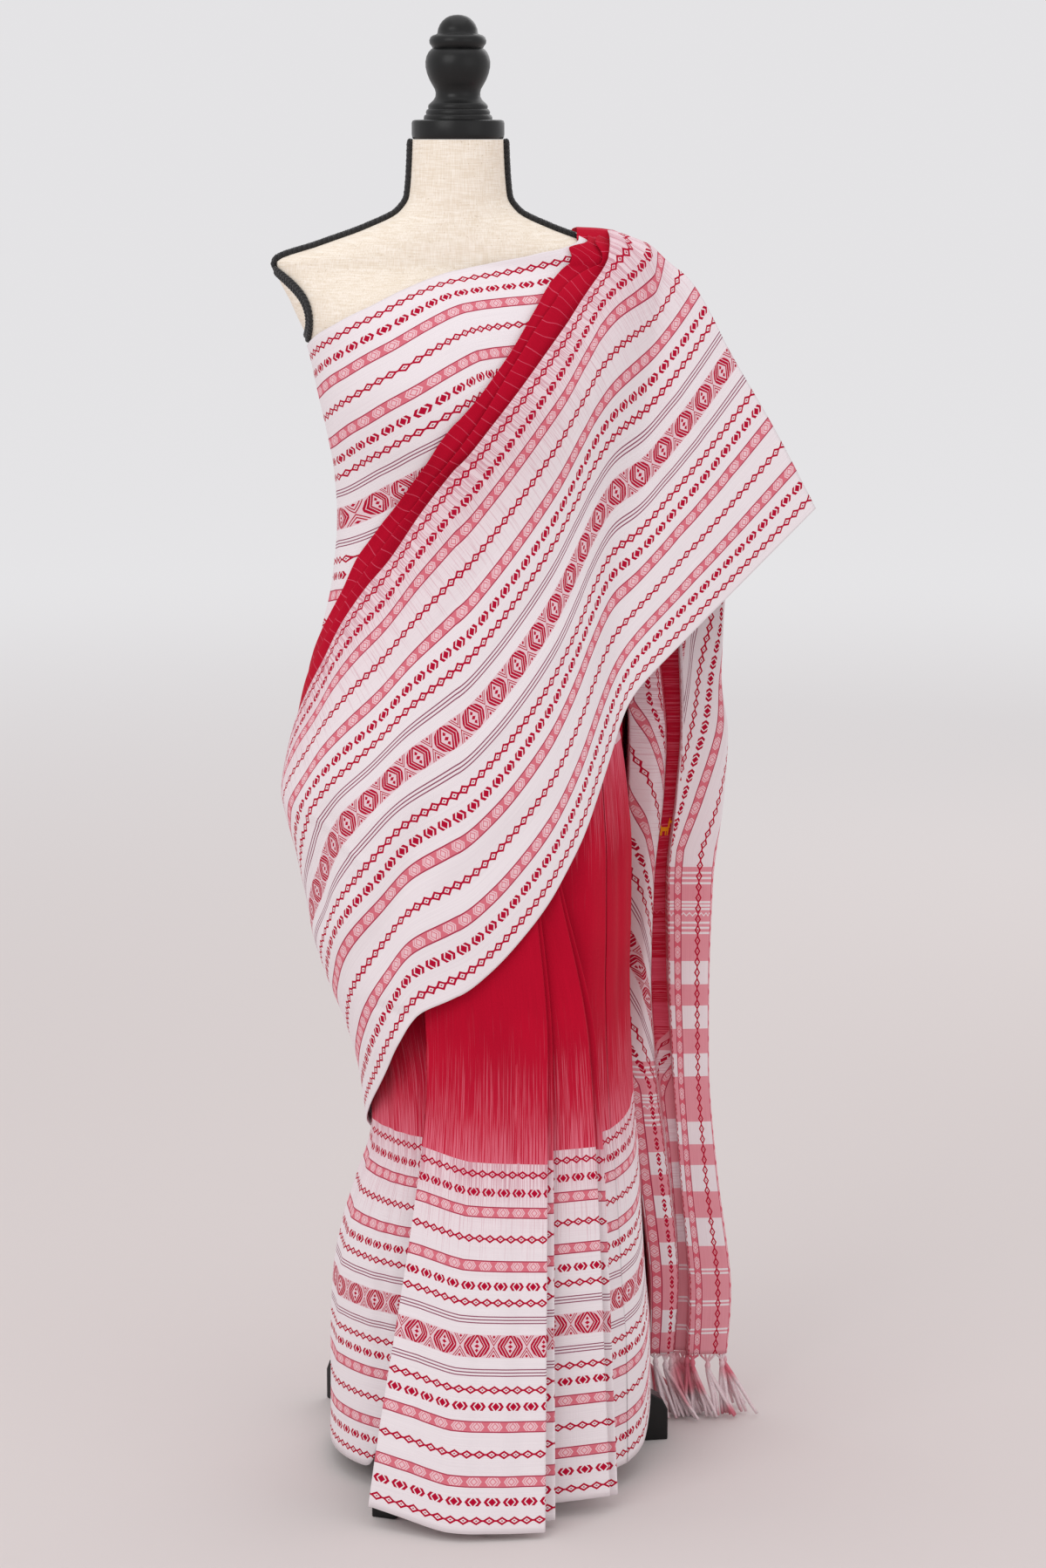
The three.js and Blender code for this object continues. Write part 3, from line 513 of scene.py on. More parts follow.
# %% The whole cotton
def cotton_material(name):
    material, tree = new_material(name)
    cloth_uv = add(tree, "UVMap", uv_map="cloth")
    flat = add(tree, "SeparateXYZ", cloth_uv)
    u = add(tree, "Math", flat.outputs["X"], 1000, operation="MULTIPLY")
    v = add(tree, "Math", flat.outputs["Y"], 1000, operation="MULTIPLY")
    mirrored = add(tree, "Math", CUT_WIDTH, v, operation="SUBTRACT")
    inward = add(tree, "Math", v, mirrored, operation="MINIMUM")
    middle = add(tree, "Math", inward, BORDER / 2, operation="SUBTRACT")
    w = add(tree, "Math", middle, operation="ABSOLUTE")

    # Yarn unevenness: long thin streaks along each of the two thread directions
    weft_place = add(tree, "CombineXYZ", add(tree, "Math", u, 0.8, operation="MULTIPLY"),
                     add(tree, "Math", v, 0.012, operation="MULTIPLY"))
    weft_noise = add(tree, "TexNoise", sockets={"Vector": weft_place, "Scale": 1, "Detail": 3})
    warp_place = add(tree, "CombineXYZ", add(tree, "Math", u, 0.012, operation="MULTIPLY"),
                     add(tree, "Math", v, 0.9, operation="MULTIPLY"))
    warp_noise = add(tree, "TexNoise", sockets={"Vector": warp_place, "Scale": 1, "Detail": 3})
    broad = add(tree, "TexNoise", sockets={"Vector": cloth_uv, "Scale": 9})

    # Streaks run out from the field's edge, pale into the red and pink into the white
    field = add(tree, "Math", inward, BORDER - 2, operation="GREATER_THAN")
    near = add(tree, "MapRange", inward, BORDER, BORDER + 170, 1, 0)
    near_wash = add(tree, "Math", all_of(tree, near, near), 0.3, operation="MULTIPLY")
    pale_edge = add(tree, "Math", near, -0.2, 0.63, operation="MULTIPLY_ADD")
    pale = add(tree, "Math", weft_noise, pale_edge, operation="SUBTRACT")
    pale_streaks = all_of(tree, add(tree, "MapRange", pale, 0, 0.1, 0, 0.8), near)
    close = add(tree, "MapRange", inward, BORDER - 150, BORDER - 4, 0, 1)
    close_wash = add(tree, "Math", all_of(tree, close, close), 0.55, operation="MULTIPLY")
    pink_edge_at = add(tree, "Math", close, -0.18, 0.64, operation="MULTIPLY_ADD")
    pink = add(tree, "Math", weft_noise, pink_edge_at, operation="SUBTRACT")
    pink_streaks = all_of(tree, add(tree, "MapRange", pink, 0, 0.09, 0, 0.6), close)

    # The white ground, then in the end piece its own weft
    white = add(tree, "Mix", warp_noise, colour("F9F1F3"), colour("E8DDE1"), data_type="RGBA")
    white = add(tree, "Mix", close_wash, white, colour("EFC2CB"), data_type="RGBA")
    white = add(tree, "Mix", pink_streaks, white, colour("C4697E"), data_type="RGBA")
    pink_weft = add(tree, "Mix", warp_noise, colour("EDA9B2"), colour("DD8794"), data_type="RGBA")
    white_weft = end_stripes(tree, u, v)
    end_piece = add(tree, "Math", u, END_LENGTH, operation="LESS_THAN")
    end_white = add(tree, "Mix", white_weft, pink_weft, white, data_type="RGBA")
    ground = add(tree, "Mix", end_piece, white, end_white, data_type="RGBA")

    # Each figure over what is below it: mask, colour and how much it covers
    rose_fill, rose_edge, rose_figures = rose_band(tree, u, w)
    figures = any_of(tree, chain_figures(tree, u, w), arrow_figures(tree, u, w),
                     medallion_figures(tree, u, w))
    medallion_ground = add(tree, "Math", w, 11.8, operation="LESS_THAN")
    for mask, code, cover in [(medallion_ground, "E2A3B0", 0.45), (rose_fill, "DC6375", 0.92),
                              (rose_edge, "A01E42", 0.9), (rose_figures, "F3CDD3", 0.92),
                              (thin_lines(tree, w), "8A2A50", 0.92), (figures, "B80B33", 1)]:
        ground = add(tree, "Mix", all_of(tree, mask, cover), ground, colour(code),
                     data_type="RGBA")

    red = add(tree, "Mix", weft_noise, colour("CC0C30"), colour("B40628"), data_type="RGBA")
    red = add(tree, "Mix", add(tree, "MapRange", broad, 0.3, 0.7, 0, 0.35), red,
              colour("9C0222"), data_type="RGBA")
    red = add(tree, "Mix", near_wash, red, colour("D8405C"), data_type="RGBA")
    red = add(tree, "Mix", pale_streaks, red, colour("E8778A"), data_type="RGBA")
    # Thin pale weft lines, only in the last three and a half metres of the saree
    rib_place = add(tree, "Math", broad, 60, u, operation="MULTIPLY_ADD")
    rib = add(tree, "Math", add(tree, "Math", rib_place, 7.5, operation="PINGPONG"), 0.36,
              operation="LESS_THAN")
    pallu_part = add(tree, "Math", u, 3500, operation="LESS_THAN")
    end_field = all_of(tree, white_weft, end_piece)
    ribs = any_of(tree, all_of(tree, rib, pallu_part, 0.7), all_of(tree, end_field, 0.55))
    red = add(tree, "Mix", ribs, red, colour("E2607A"), data_type="RGBA")
    boxes = [all_of(tree, add(tree, "Math", u, DEER_AT[0] + du, half_u, operation="COMPARE"),
                    add(tree, "Math", v, DEER_AT[1] + dv, half_v, operation="COMPARE"))
             for du, dv, half_u, half_v in DEER]
    red = add(tree, "Mix", any_of(tree, *boxes), red, colour("F0A020"), data_type="RGBA")
    cloth = add(tree, "Mix", field, ground, red, data_type="RGBA")

    # The weave: threads drawn at 1.3 mm, three times their real spacing, to show
    weave = []
    for along in (u, v):
        turn = add(tree, "Math", along, 2 * math.pi / 1.3, operation="MULTIPLY")
        weave.append(add(tree, "Math", turn, operation="SINE"))
    slub = add(tree, "Math", weft_noise, warp_noise, operation="ADD")
    height = add(tree, "Math", all_of(tree, *weave), 0.12, slub, operation="MULTIPLY_ADD")
    bump = add(tree, "Bump", sockets={"Strength": 0.35, "Distance": 0.0006, "Height": height})
    shader = add(tree, "BsdfPrincipled", sockets={
        "Base Color": cloth, "Roughness": 0.9, "Normal": bump, "Sheen Weight": 0.03,
        "Sheen Roughness": 0.5, "Specular IOR Level": 0.1})
    add(tree, "OutputMaterial", shader)
    return material


COTTON = cotton_material("handloom_cotton")
print("cotton:", len(COTTON.node_tree.nodes), "nodes")

# %% [markdown]
# ## Linen cover, braid and lacquered wood
#
# The form's cover is unbleached linen: a matt, slightly uneven weave with fine
# flecks. Its seams carry a plaited black cotton braid, which is dull and fuzzy.
# Finial, pole and legs are turned and shaped wood under satin black lacquer.

# %% Linen
def linen_material(name):
    material, tree = new_material(name)
    place = add(tree, "TexCoord").outputs["Object"]
    along = add(tree, "Mapping", place, sockets={"Scale": (900, 900, 60)})
    across = add(tree, "Mapping", place, sockets={"Scale": (60, 60, 900)})
    upright = add(tree, "TexNoise", sockets={"Vector": along, "Scale": 1, "Detail": 2})
    level = add(tree, "TexNoise", sockets={"Vector": across, "Scale": 1, "Detail": 2})
    threads = add(tree, "Math", upright, level, operation="ADD")
    tint = add(tree, "MapRange", threads, 0.8, 1.25, 0, 1)
    base = add(tree, "Mix", tint, colour("EEDFCB"), colour("FFF5E8"), data_type="RGBA")
    fleck = add(tree, "TexNoise", sockets={"Vector": place, "Scale": 420, "Detail": 1})
    flecks = add(tree, "MapRange", fleck, 0.68, 0.74, 0, 0.35)
    base = add(tree, "Mix", flecks, base, colour("B79F80"), data_type="RGBA")
    bump = add(tree, "Bump", sockets={"Strength": 0.3, "Distance": 0.0005, "Height": threads})
    shader = add(tree, "BsdfPrincipled", sockets={
        "Base Color": base, "Roughness": 0.9, "Normal": bump, "Sheen Weight": 0.1,
        "Specular IOR Level": 0.2})
    add(tree, "OutputMaterial", shader)
    return material


LINEN = linen_material("linen_cover")
print("linen:", len(LINEN.node_tree.nodes), "nodes")


# %% Braid and lacquer
def braid_material(name):
    material, tree = new_material(name)
    place = add(tree, "TexCoord").outputs["Object"]
    fuzz = add(tree, "TexNoise", sockets={"Vector": place, "Scale": 1600, "Detail": 3})
    base = add(tree, "Mix", fuzz, colour("0C0C0D"), colour("2E2D2F"), data_type="RGBA")
    bump = add(tree, "Bump", sockets={"Strength": 0.6, "Distance": 0.0006, "Height": fuzz})
    shader = add(tree, "BsdfPrincipled", sockets={
        "Base Color": base, "Roughness": 0.85, "Normal": bump, "Sheen Weight": 0.25})
    add(tree, "OutputMaterial", shader)
    return material


def lacquer_material(name):
    material, tree = new_material(name)
    place = add(tree, "TexCoord").outputs["Object"]
    stretched = add(tree, "Mapping", place, sockets={"Scale": (160, 160, 18)})
    grain = add(tree, "TexNoise", sockets={"Vector": stretched, "Scale": 1, "Detail": 4})
    base = add(tree, "Mix", grain, colour("090909"), colour("121212"), data_type="RGBA")
    gloss = add(tree, "MapRange", grain, 0.3, 0.7, 0.3, 0.42)
    bump = add(tree, "Bump", sockets={"Strength": 0.08, "Distance": 0.0004, "Height": grain})
    shader = add(tree, "BsdfPrincipled", sockets={
        "Base Color": base, "Roughness": gloss, "Normal": bump, "Coat Weight": 0.1,
        "Coat Roughness": 0.25, "Specular IOR Level": 0.3})
    add(tree, "OutputMaterial", shader)
    return material


BRAID = braid_material("plaited_cotton_braid")
LACQUER = lacquer_material("black_lacquered_wood")
print("finishes:", BRAID.name, LACQUER.name)

# %% [markdown]
# ## The dress form
#
# The torso is a padded block of smooth oval sections. It starts as a circle that
# is extruded ring by ring; each ring is then set to the section at its height.

# %% Torso
FORM_BASE, SHOULDER, NECK_TOP = 690, 1330, 1475
BODY_LEVELS = np.linspace(FORM_BASE, SHOULDER, 54)
NECK_LEVELS = np.linspace(SHOULDER, NECK_TOP, 40)
FORM_LEVELS = np.unique(np.concatenate([BODY_LEVELS, NECK_LEVELS]))
RING, FIRST_STEP = 96, 0.001

bpy.ops.object.select_all(action="DESELECT")
bpy.ops.mesh.primitive_circle_add(vertices=RING, radius=0.1, fill_type="NGON")
torso = bpy.context.object
torso.name = torso.data.name = "linen_torso"
bpy.ops.object.mode_set(mode="EDIT")
bpy.ops.mesh.select_all(action="SELECT")
for _ in FORM_LEVELS[1:]:
    bpy.ops.mesh.extrude_region_move(TRANSFORM_OT_translate={"value": (0, 0, FIRST_STEP)})
bpy.ops.object.mode_set(mode="OBJECT")
rings = np.zeros(len(torso.data.vertices) * 3)
torso.data.vertices.foreach_get("co", rings)
rings = rings.reshape(-1, 3)
turn = 90 + np.degrees(np.arctan2(rings[:, 1], rings[:, 0]))
which = np.round(rings[:, 2] / FIRST_STEP).astype(int)
height = FORM_LEVELS[np.clip(which, 0, len(FORM_LEVELS) - 1)]
torso.data.vertices.foreach_set("co", packed(body_point(FORM, turn, height)).reshape(-1))
bpy.ops.object.mode_set(mode="EDIT")
bpy.ops.mesh.select_all(action="SELECT")
bpy.ops.mesh.normals_make_consistent(inside=False)
bpy.ops.object.mode_set(mode="OBJECT")
bpy.ops.object.shade_smooth_by_angle(angle=math.radians(40))
finish_piece(torso, LINEN, ["form_torso"])
print("torso rings", len(FORM_LEVELS), "vertices", len(torso.data.vertices))

# %% [markdown]
# ## Finial
#
# The neck cap and finial are turned on a lathe, so half of the outline is drawn
# and screwed once round its axis.

# %% Finial
FINIAL = [
    (0, 1607), (4.5, 1606.6), (9, 1605.5), (13, 1603.4), (16.5, 1600.4), (19.3, 1596.6),
    (21.2, 1592), (22, 1587.4), (23.5, 1586.2), (26.6, 1585.4), (29.4, 1583.4), (30.7, 1580),
    (30.4, 1576.6), (28.4, 1574), (27.2, 1571.8), (29, 1570.4), (31.6, 1567.6), (33.8, 1563),
    (34.9, 1557.5), (34.7, 1551.5), (33.2, 1545), (30.7, 1538.6), (27.6, 1533), (25, 1528.6),
    (24, 1524.6), (24.3, 1520.6), (26.4, 1517), (29.6, 1514), (31.7, 1512), (32.3, 1510),
    (31.9, 1507.8), (33.6, 1506.6), (34.7, 1504.4), (34.3, 1501.8), (36.4, 1500.6),
    (37, 1498.4), (37, 1496.2), (46.5, 1496), (49.2, 1495), (50, 1492.6), (50, 1480.6),
    (49.4, 1477), (48, 1475.4), (0, 1475.3),
]
profile = bpy.data.meshes.new("turned_finial")
spots = packed([[radius, 0, z] for radius, z in FINIAL])
profile.from_pydata(spots.tolist(), [(k, k + 1) for k in range(len(FINIAL) - 1)], [])
finial = bpy.data.objects.new("turned_finial", profile)
bpy.context.collection.objects.link(finial)
axis = bpy.data.objects.new("lathe_axis", None)
axis.location = packed([0, 0, 0])
bpy.context.collection.objects.link(axis)
bpy.context.view_layer.update()
apply_modifier(finial, "SCREW", object=axis, steps=72, render_steps=72, use_merge_vertices=True,
               merge_threshold=0.00001)
bpy.data.objects.remove(axis)
bpy.ops.object.mode_set(mode="EDIT")
bpy.ops.mesh.select_all(action="SELECT")
bpy.ops.mesh.remove_doubles(threshold=0.00002)
bpy.ops.mesh.normals_make_consistent(inside=False)
bpy.ops.object.mode_set(mode="OBJECT")
bpy.ops.object.shade_smooth_by_angle(angle=math.radians(50))
finish_piece(finial, LACQUER, ["finial"])
print("finial", len(finial.data.polygons), "faces")

# %% [markdown]
# ## Pole, hub and legs
#
# These solids already have the right shape. Their sharp edges are worn round on
# the real stand, so each gets a small live bevel and the lacquer.

# %% Stand
WORN_EDGE = 0.0022
for name in ["stand_pole", "stand_hub", "leg_1", "leg_2", "leg_3"]:
    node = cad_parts[name]
    weld = node.modifiers.new("weld", "WELD")
    weld.merge_threshold = 0.00002
    bevel = node.modifiers.new("bevel", "BEVEL")
    bevel.width = WORN_EDGE
    bevel.segments = 3
    bevel.limit_method = "ANGLE"
    bevel.angle_limit = math.radians(35)
    node.data.materials.clear()
    node.data.materials.append(LACQUER)
print("stand finished")

# %% [markdown]
# ## Plaited braid
#
# A flat braid is three cords that swing from side to side and pass over and
# under each other. Each cord is a tube whose middle line swings once in every
# repeat, a third of a repeat after the one before.

# %% A plait along a path
def plait(name, middle, normal, half_width, repeat, cord):
    """A flat three-cord plait along a path, lying on a surface with these normals."""
    middle, normal = np.asarray(middle, float), np.asarray(normal, float)
    length = arc_length(middle)
    count = int(length[-1] / repeat * 14) + 1
    s = np.linspace(0, length[-1], count)
    line = np.stack([np.interp(s, length, middle[:, k]) for k in range(3)], axis=-1)
    out = np.stack([np.interp(s, length, normal[:, k]) for k in range(3)], axis=-1)
    out /= np.linalg.norm(out, axis=-1, keepdims=True)
    way = np.gradient(line, axis=0)
    way /= np.linalg.norm(way, axis=-1, keepdims=True)
    side = np.cross(way, out)
    sides = 7
    spots, faces = [], []
    for strand in range(3):
        phase = 2 * math.pi * (s / repeat + strand / 3)
        swing = half_width * np.sin(phase)
        lift = 1.1 * cord + 0.75 * cord * np.sin(2 * phase)
        core = line + side * swing[:, None] + out * lift[:, None]
        run = np.gradient(core, axis=0)
        run /= np.linalg.norm(run, axis=-1, keepdims=True)
        up = out - run * np.sum(out * run, axis=-1, keepdims=True)
        up /= np.linalg.norm(up, axis=-1, keepdims=True)
        flat = np.cross(run, up)
        start = len(spots)
        for k in range(count):
            for turn in np.arange(sides) * 2 * math.pi / sides:
                around = np.cos(turn) * flat[k] * 1.25 + np.sin(turn) * up[k]
                spots.append(core[k] + cord * around)
        for k in range(count - 1):
            for j in range(sides):
                a, b = start + k * sides + j, start + k * sides + (j + 1) % sides
                faces.append((a, a + sides, b + sides, b))
        faces.append(tuple(start + j for j in range(sides)))
        faces.append(tuple(start + (count - 1) * sides + j for j in reversed(range(sides))))
    mesh = bpy.data.meshes.new(name)
    mesh.from_pydata(packed(spots).tolist(), [], faces)
    mesh.polygons.foreach_set("use_smooth", [True] * len(mesh.polygons))
    piece = bpy.data.objects.new(name, mesh)
    bpy.context.collection.objects.link(piece)
    return piece


def surface_normal(angle, z):
    """The form's unit normal at an angle and height."""
    return off_body(FORM, angle, z, 1.0) - off_body(FORM, angle, z, 0.0)


print("side normal", np.round(surface_normal(90.0, 1200.0), 2))

# %% Braid on the seams and round the armholes
ARM_HEIGHT, ARM_HALF_ANGLE, ARM_HALF_HEIGHT = 1300, 24, 33
# Half width, repeat and cord radius of the two braids
SEAM_BRAID, ARM_BRAID = (5.0, 17, 2.2), (3.7, 13, 1.8)
for side_name, hand in (("right", -1), ("left", 1)):
    levels = np.linspace(1474, 1340, 140)
    seam = off_body(FORM, 90.0 * hand, levels, 0.4)
    normals = surface_normal(90.0 * hand, levels)
    piece = plait(f"seam_braid_{side_name}", seam, normals, *SEAM_BRAID)
    finish_piece(piece, BRAID, [f"braid_{side_name}"])
    turns = np.linspace(0, 2 * math.pi, 121)
    angle = hand * (90 + ARM_HALF_ANGLE * 1.09 * np.cos(turns))
    level = ARM_HEIGHT + ARM_HALF_HEIGHT * 1.09 * np.sin(turns)
    loop = off_body(FORM, angle, level, 0.4)
    normals = surface_normal(angle, level)
    piece = plait(f"armhole_braid_{side_name}", loop, normals, *ARM_BRAID)
    finish_piece(piece, BRAID, [f"arm_piping_{side_name}"])
    bpy.ops.object.select_all(action="DESELECT")
    bpy.ops.mesh.primitive_circle_add(vertices=72, radius=1, fill_type="NGON")
    plate = bpy.context.object
    plate.name = plate.data.name = f"armhole_plate_{side_name}"
    bpy.ops.object.mode_set(mode="EDIT")
    bpy.ops.mesh.select_all(action="SELECT")
    for inset in (0.06, 0.2, 0.25, 0.25):
        bpy.ops.mesh.inset(thickness=inset)
    bpy.ops.object.mode_set(mode="OBJECT")
    spots = np.array([vertex.co[:] for vertex in plate.data.vertices])
    size = np.hypot(spots[:, 0], spots[:, 1])
    turn = np.arctan2(spots[:, 1], spots[:, 0])
    angle = hand * (90 + ARM_HALF_ANGLE * 0.97 * size * np.cos(turn))
    level = ARM_HEIGHT + ARM_HALF_HEIGHT * 0.97 * size * np.sin(turn)
    dome = 1.0 + 1.2 * (1 - size ** 4)
    placed = np.array([off_body(FORM, a, z, d) for a, z, d in zip(angle, level, dome)])
    plate.data.vertices.foreach_set("co", packed(placed).reshape(-1))
    if hand > 0:
        bpy.ops.object.mode_set(mode="EDIT")
        bpy.ops.mesh.select_all(action="SELECT")
        bpy.ops.mesh.flip_normals()
        bpy.ops.object.mode_set(mode="OBJECT")
    apply_modifier(plate, "SOLIDIFY", thickness=0.0008, offset=-1)
    bpy.ops.object.shade_smooth_by_angle(angle=math.radians(50))
    finish_piece(plate, LINEN, [f"arm_plate_{side_name}"])
print("braids and armhole plates finished")

# %% [markdown]
# ## First wrap
#
# The saree starts as a plain turn round the hips, tucked into the waist. Only
# its lower left part shows, under the pallu. Its hem rides up over the legs.

# %% Skirt
LEG_ANGLES = [100, 220, -20]
SKIRT_HEM, LEG_LIFT, LEG_LIFT_ANGLE = 22, 84, 15
WAIST = 1050
# Where each stretch starts along the cloth, apart enough that no figure lines up
U_SKIRT, U_PLEATS, U_HIP = 8000, 6000, 4500
# Length of cloth for each degree round the hips
SKIRT_STEP = 2.62
# Creases are placed by angle and height. A height is divided by this for its plan,
# so that a width counts in degrees both ways.
HEIGHT_SCALE = 6
SKIRT_CREASES = [
    (-3.0, 12, [(-62, 900), (-52, 520), (-48, 60)]),
    (2.5, 10, [(-78, 520), (-70, 300), (-66, 30)]),
    (-2.5, 9, [(-35, 620), (-38, 330), (-32, 60)]),
    (3.0, 12, [(-95, 480), (-92, 260), (-88, 40)]),
    (-3.0, 14, [(150, 800), (155, 420), (150, 40)]),
    (3.0, 13, [(200, 820), (192, 440), (200, 60)]),
    (-2.5, 12, [(240, 700), (236, 380), (244, 50)]),
]


def skirt():
    angles = np.linspace(-180, 180, 241)[:-1]
    share = np.linspace(0, 1, 121)
    away = np.abs((angles[:, None] - np.array(LEG_ANGLES) + 540) % 360 - 180) / LEG_LIFT_ANGLE
    hem = SKIRT_HEM + np.max(LEG_LIFT * np.exp(-(away ** 4)), axis=1)
    z = hem[:, None] + (WAIST - hem[:, None]) * share[None, :]
    angle = np.broadcast_to(angles[:, None], z.shape)
    points = body_point(SKIRT, angle, z)
    wrapped = np.where(angle < -100, angle + 360, angle)
    creases = [(height, width / 2, [(a, b / HEIGHT_SCALE) for a, b in path])
               for height, width, path in SKIRT_CREASES]
    lift = crease_height(wrapped, z / HEIGHT_SCALE, creases)
    points = points + grid_normals(points) * (lift * fade(0, 0.1, 1 - share))[..., None]
    u = U_SKIRT + np.broadcast_to((angles[:, None] + 180) * SKIRT_STEP, z.shape)
    return cloth_sheet("first_wrap", points, u, z - SKIRT_HEM, ring=True)


first_wrap = skirt()
finish_piece(first_wrap, COTTON, ["skirt_wrap"])

# %% [markdown]
# ## Front pleats
#
# Next come knife pleats, stacked at the waist and opening towards the floor. In
# plan the cloth is a zigzag, so each row of the grid is that zigzag at one
# height, with a small round at each fold.

# %% Corners and creases of the pleats
PLEAT_LEVELS = [8, 500, 660, 800]
PLEATS = [
    # fold?, hem, x at each level, y at each level
    (False, 40, [-70, -16, -20, -20], [-236, -144.6, -136, -126]),
    (True, 22, [-97, -36, -44, -50], [-244, -149, -141, -131]),
    (False, 10, [-14, 14, 6, -10], [-290, -163, -153, -141.5]),
    (False, 8, [42, 56, 44, 30], [-291, -163.5, -152, -142.5]),
    (True, 7, [94, 97, 84, 60], [-281, -161, -148.5, -140]),
    (True, 8, [12, 40, 26, 10], [-266, -157.4, -145.1, -136.6]),
    (True, 9, [105, 102, 88, 64], [-250, -153.6, -141.6, -133.2]),
    (True, 12, [34, 52, 32, 16], [-240, -150, -138.2, -129.8]),
    (True, 20, [165, 142, 112, 74], [-206, -145, -134.4, -126.4]),
    (True, 16, [88, 86, 60, 30], [-211, -141, -130.8, -123]),
    (True, 14, [174, 150, 116, 80], [-186, -135, -126.8, -119.6]),
    (True, 14, [108, 98, 70, 40], [-188, -131, -123, -116.4]),
]
PLEAT_BEND = [3, 1.6, 1.5, 1.5]
PLEAT_HIP = [46, 58]
PLEAT_HIP_HEM = 24
# Height, width and path in (x, z) of the flutes in the broad front face
PLEAT_CREASES = [
    (-3.0, 8, [(-26, 640), (-38, 330), (-58, -60)]), (2.6, 8, [(-2, 640), (-6, 330), (-16, -60)]),
    (-2.8, 8, [(24, 640), (22, 330), (20, -60)]), (2.4, 8, [(42, 640), (46, 330), (50, -60)]),
    (-2.2, 7, [(60, 640), (66, 330), (72, -60)]),
]
print(len(PLEATS), "corners,", sum(fold for fold, *_ in PLEATS), "of them folds")


# %% One row of the pleats
def pleat_row(level):
    """Plan points and hem heights of the folded cloth, at a share of the pleats' height."""
    z = PLEAT_LEVELS[0] + (PLEAT_LEVELS[-1] - PLEAT_LEVELS[0]) * level
    corners = [np.array([smooth(PLEAT_LEVELS, x, z), smooth(PLEAT_LEVELS, y, z)])
               for _, _, x, y in PLEATS]
    corners += [body_point(HIP, angle, z)[:2] for angle in PLEAT_HIP]
    hems = [hem for _, hem, _, _ in PLEATS] + [PLEAT_HIP_HEM] * len(PLEAT_HIP)
    bend = smooth(PLEAT_LEVELS, PLEAT_BEND, z)
    stations = []
    for k, corner in enumerate(corners):
        if k >= len(PLEATS) or not PLEATS[k][0]:
            stations.append([(corner, hems[k])])
            continue
        before = (corners[k - 1] - corner) / np.linalg.norm(corners[k - 1] - corner)
        after = (corners[k + 1] - corner) / np.linalg.norm(corners[k + 1] - corner)
        outward = -(before + after) / np.linalg.norm(before + after)
        sideways = np.array([-outward[1], outward[0]])
        if sideways @ before < sideways @ after:
            sideways = -sideways
        centre = corner - outward * bend
        stations.append([(centre + bend * (np.cos(t) * sideways + np.sin(t) * outward), hems[k])
                         for t in np.linspace(0, math.pi, 7)])
    path = []
    for k, arc in enumerate(stations[:-1]):
        path += arc
        start, end = arc[-1][0], stations[k + 1][0][0]
        before = arc[-2][0] if len(arc) > 1 else (stations[k - 1][-1][0] if k else start)
        beyond = stations[k + 1][1][0] if len(stations[k + 1]) > 1 else (
            stations[k + 2][0][0] if k + 2 < len(stations) else end)
        reach = np.linalg.norm(end - start)
        leave = end - start if len(arc) > 1 else (end - before) / 2
        arrive = end - start if len(stations[k + 1]) > 1 else (beyond - start) / 2
        leave = leave * reach / max(np.linalg.norm(leave), 1e-6)
        arrive = arrive * reach / max(np.linalg.norm(arrive), 1e-6)
        # A soft wave in each long face, deeper near the floor
        across = np.array([-(end - start)[1], (end - start)[0]]) / max(reach, 1e-6)
        wave = 1.6 * math.sin(k * 2.1) * (1 - level) * min(reach / 80, 1)
        for t in np.linspace(0, 1, 12)[1:-1]:
            spot = (1 + 2 * t) * (1 - t) ** 2 * start + t * (1 - t) ** 2 * leave
            spot = spot + t * t * (3 - 2 * t) * end + t * t * (t - 1) * arrive
            hem = arc[-1][1] + (stations[k + 1][0][1] - arc[-1][1]) * t
            path.append((spot + across * wave * math.sin(math.pi * t) ** 2, hem))
    path += stations[-1]
    return path


print("points in a row", len(pleat_row(0)))


# %% Pleats
def pleats():
    levels = np.linspace(0, 1, 110)
    rows = [pleat_row(level) for level in levels]
    plan = np.array([[spot for spot, _ in row] for row in rows]).transpose(1, 0, 2)
    hems = np.array([[hem for _, hem in row] for row in rows]).T
    z = hems + (PLEAT_LEVELS[-1] - hems) * levels[None, :]
    points = np.concatenate([plan, z[..., None]], axis=-1)
    outer = points[..., 1] < np.quantile(points[..., 1], 0.5, axis=0)[None, :]
    lift = crease_height(points[..., 0], z, PLEAT_CREASES) * outer
    points = points + grid_normals(points) * (lift * fade(0, 0.03, levels))[..., None]
    along = arc_length(points)[:, 25]
    u = U_PLEATS + np.broadcast_to(along[:, None], z.shape)
    return cloth_sheet("knife_pleats", points, u, z - hems)


knife_pleats = pleats()
finish_piece(knife_pleats, COTTON, ["front_pleats"])

# %% [markdown]
# ## Second wrap
#
# From the pleats the cloth goes round the viewer's right hip and the back, and
# climbs towards the other side, so its lower border rises from the floor.

# %% Edges of the second wrap
WRAP_START, WRAP_END = 58, 262
WRAP_STEP = 2.9
HIP_LOWER = [[58, 24], [70, 30], [85, 64], [100, 84], [115, 92], [130, 120], [160, 180],
             [200, 255], [235, 320], [262, 372]]
HIP_UPPER = [[58, 1062], [90, 1062], [130, 1090], [180, 1150], [230, 1215], [262, 1252]]
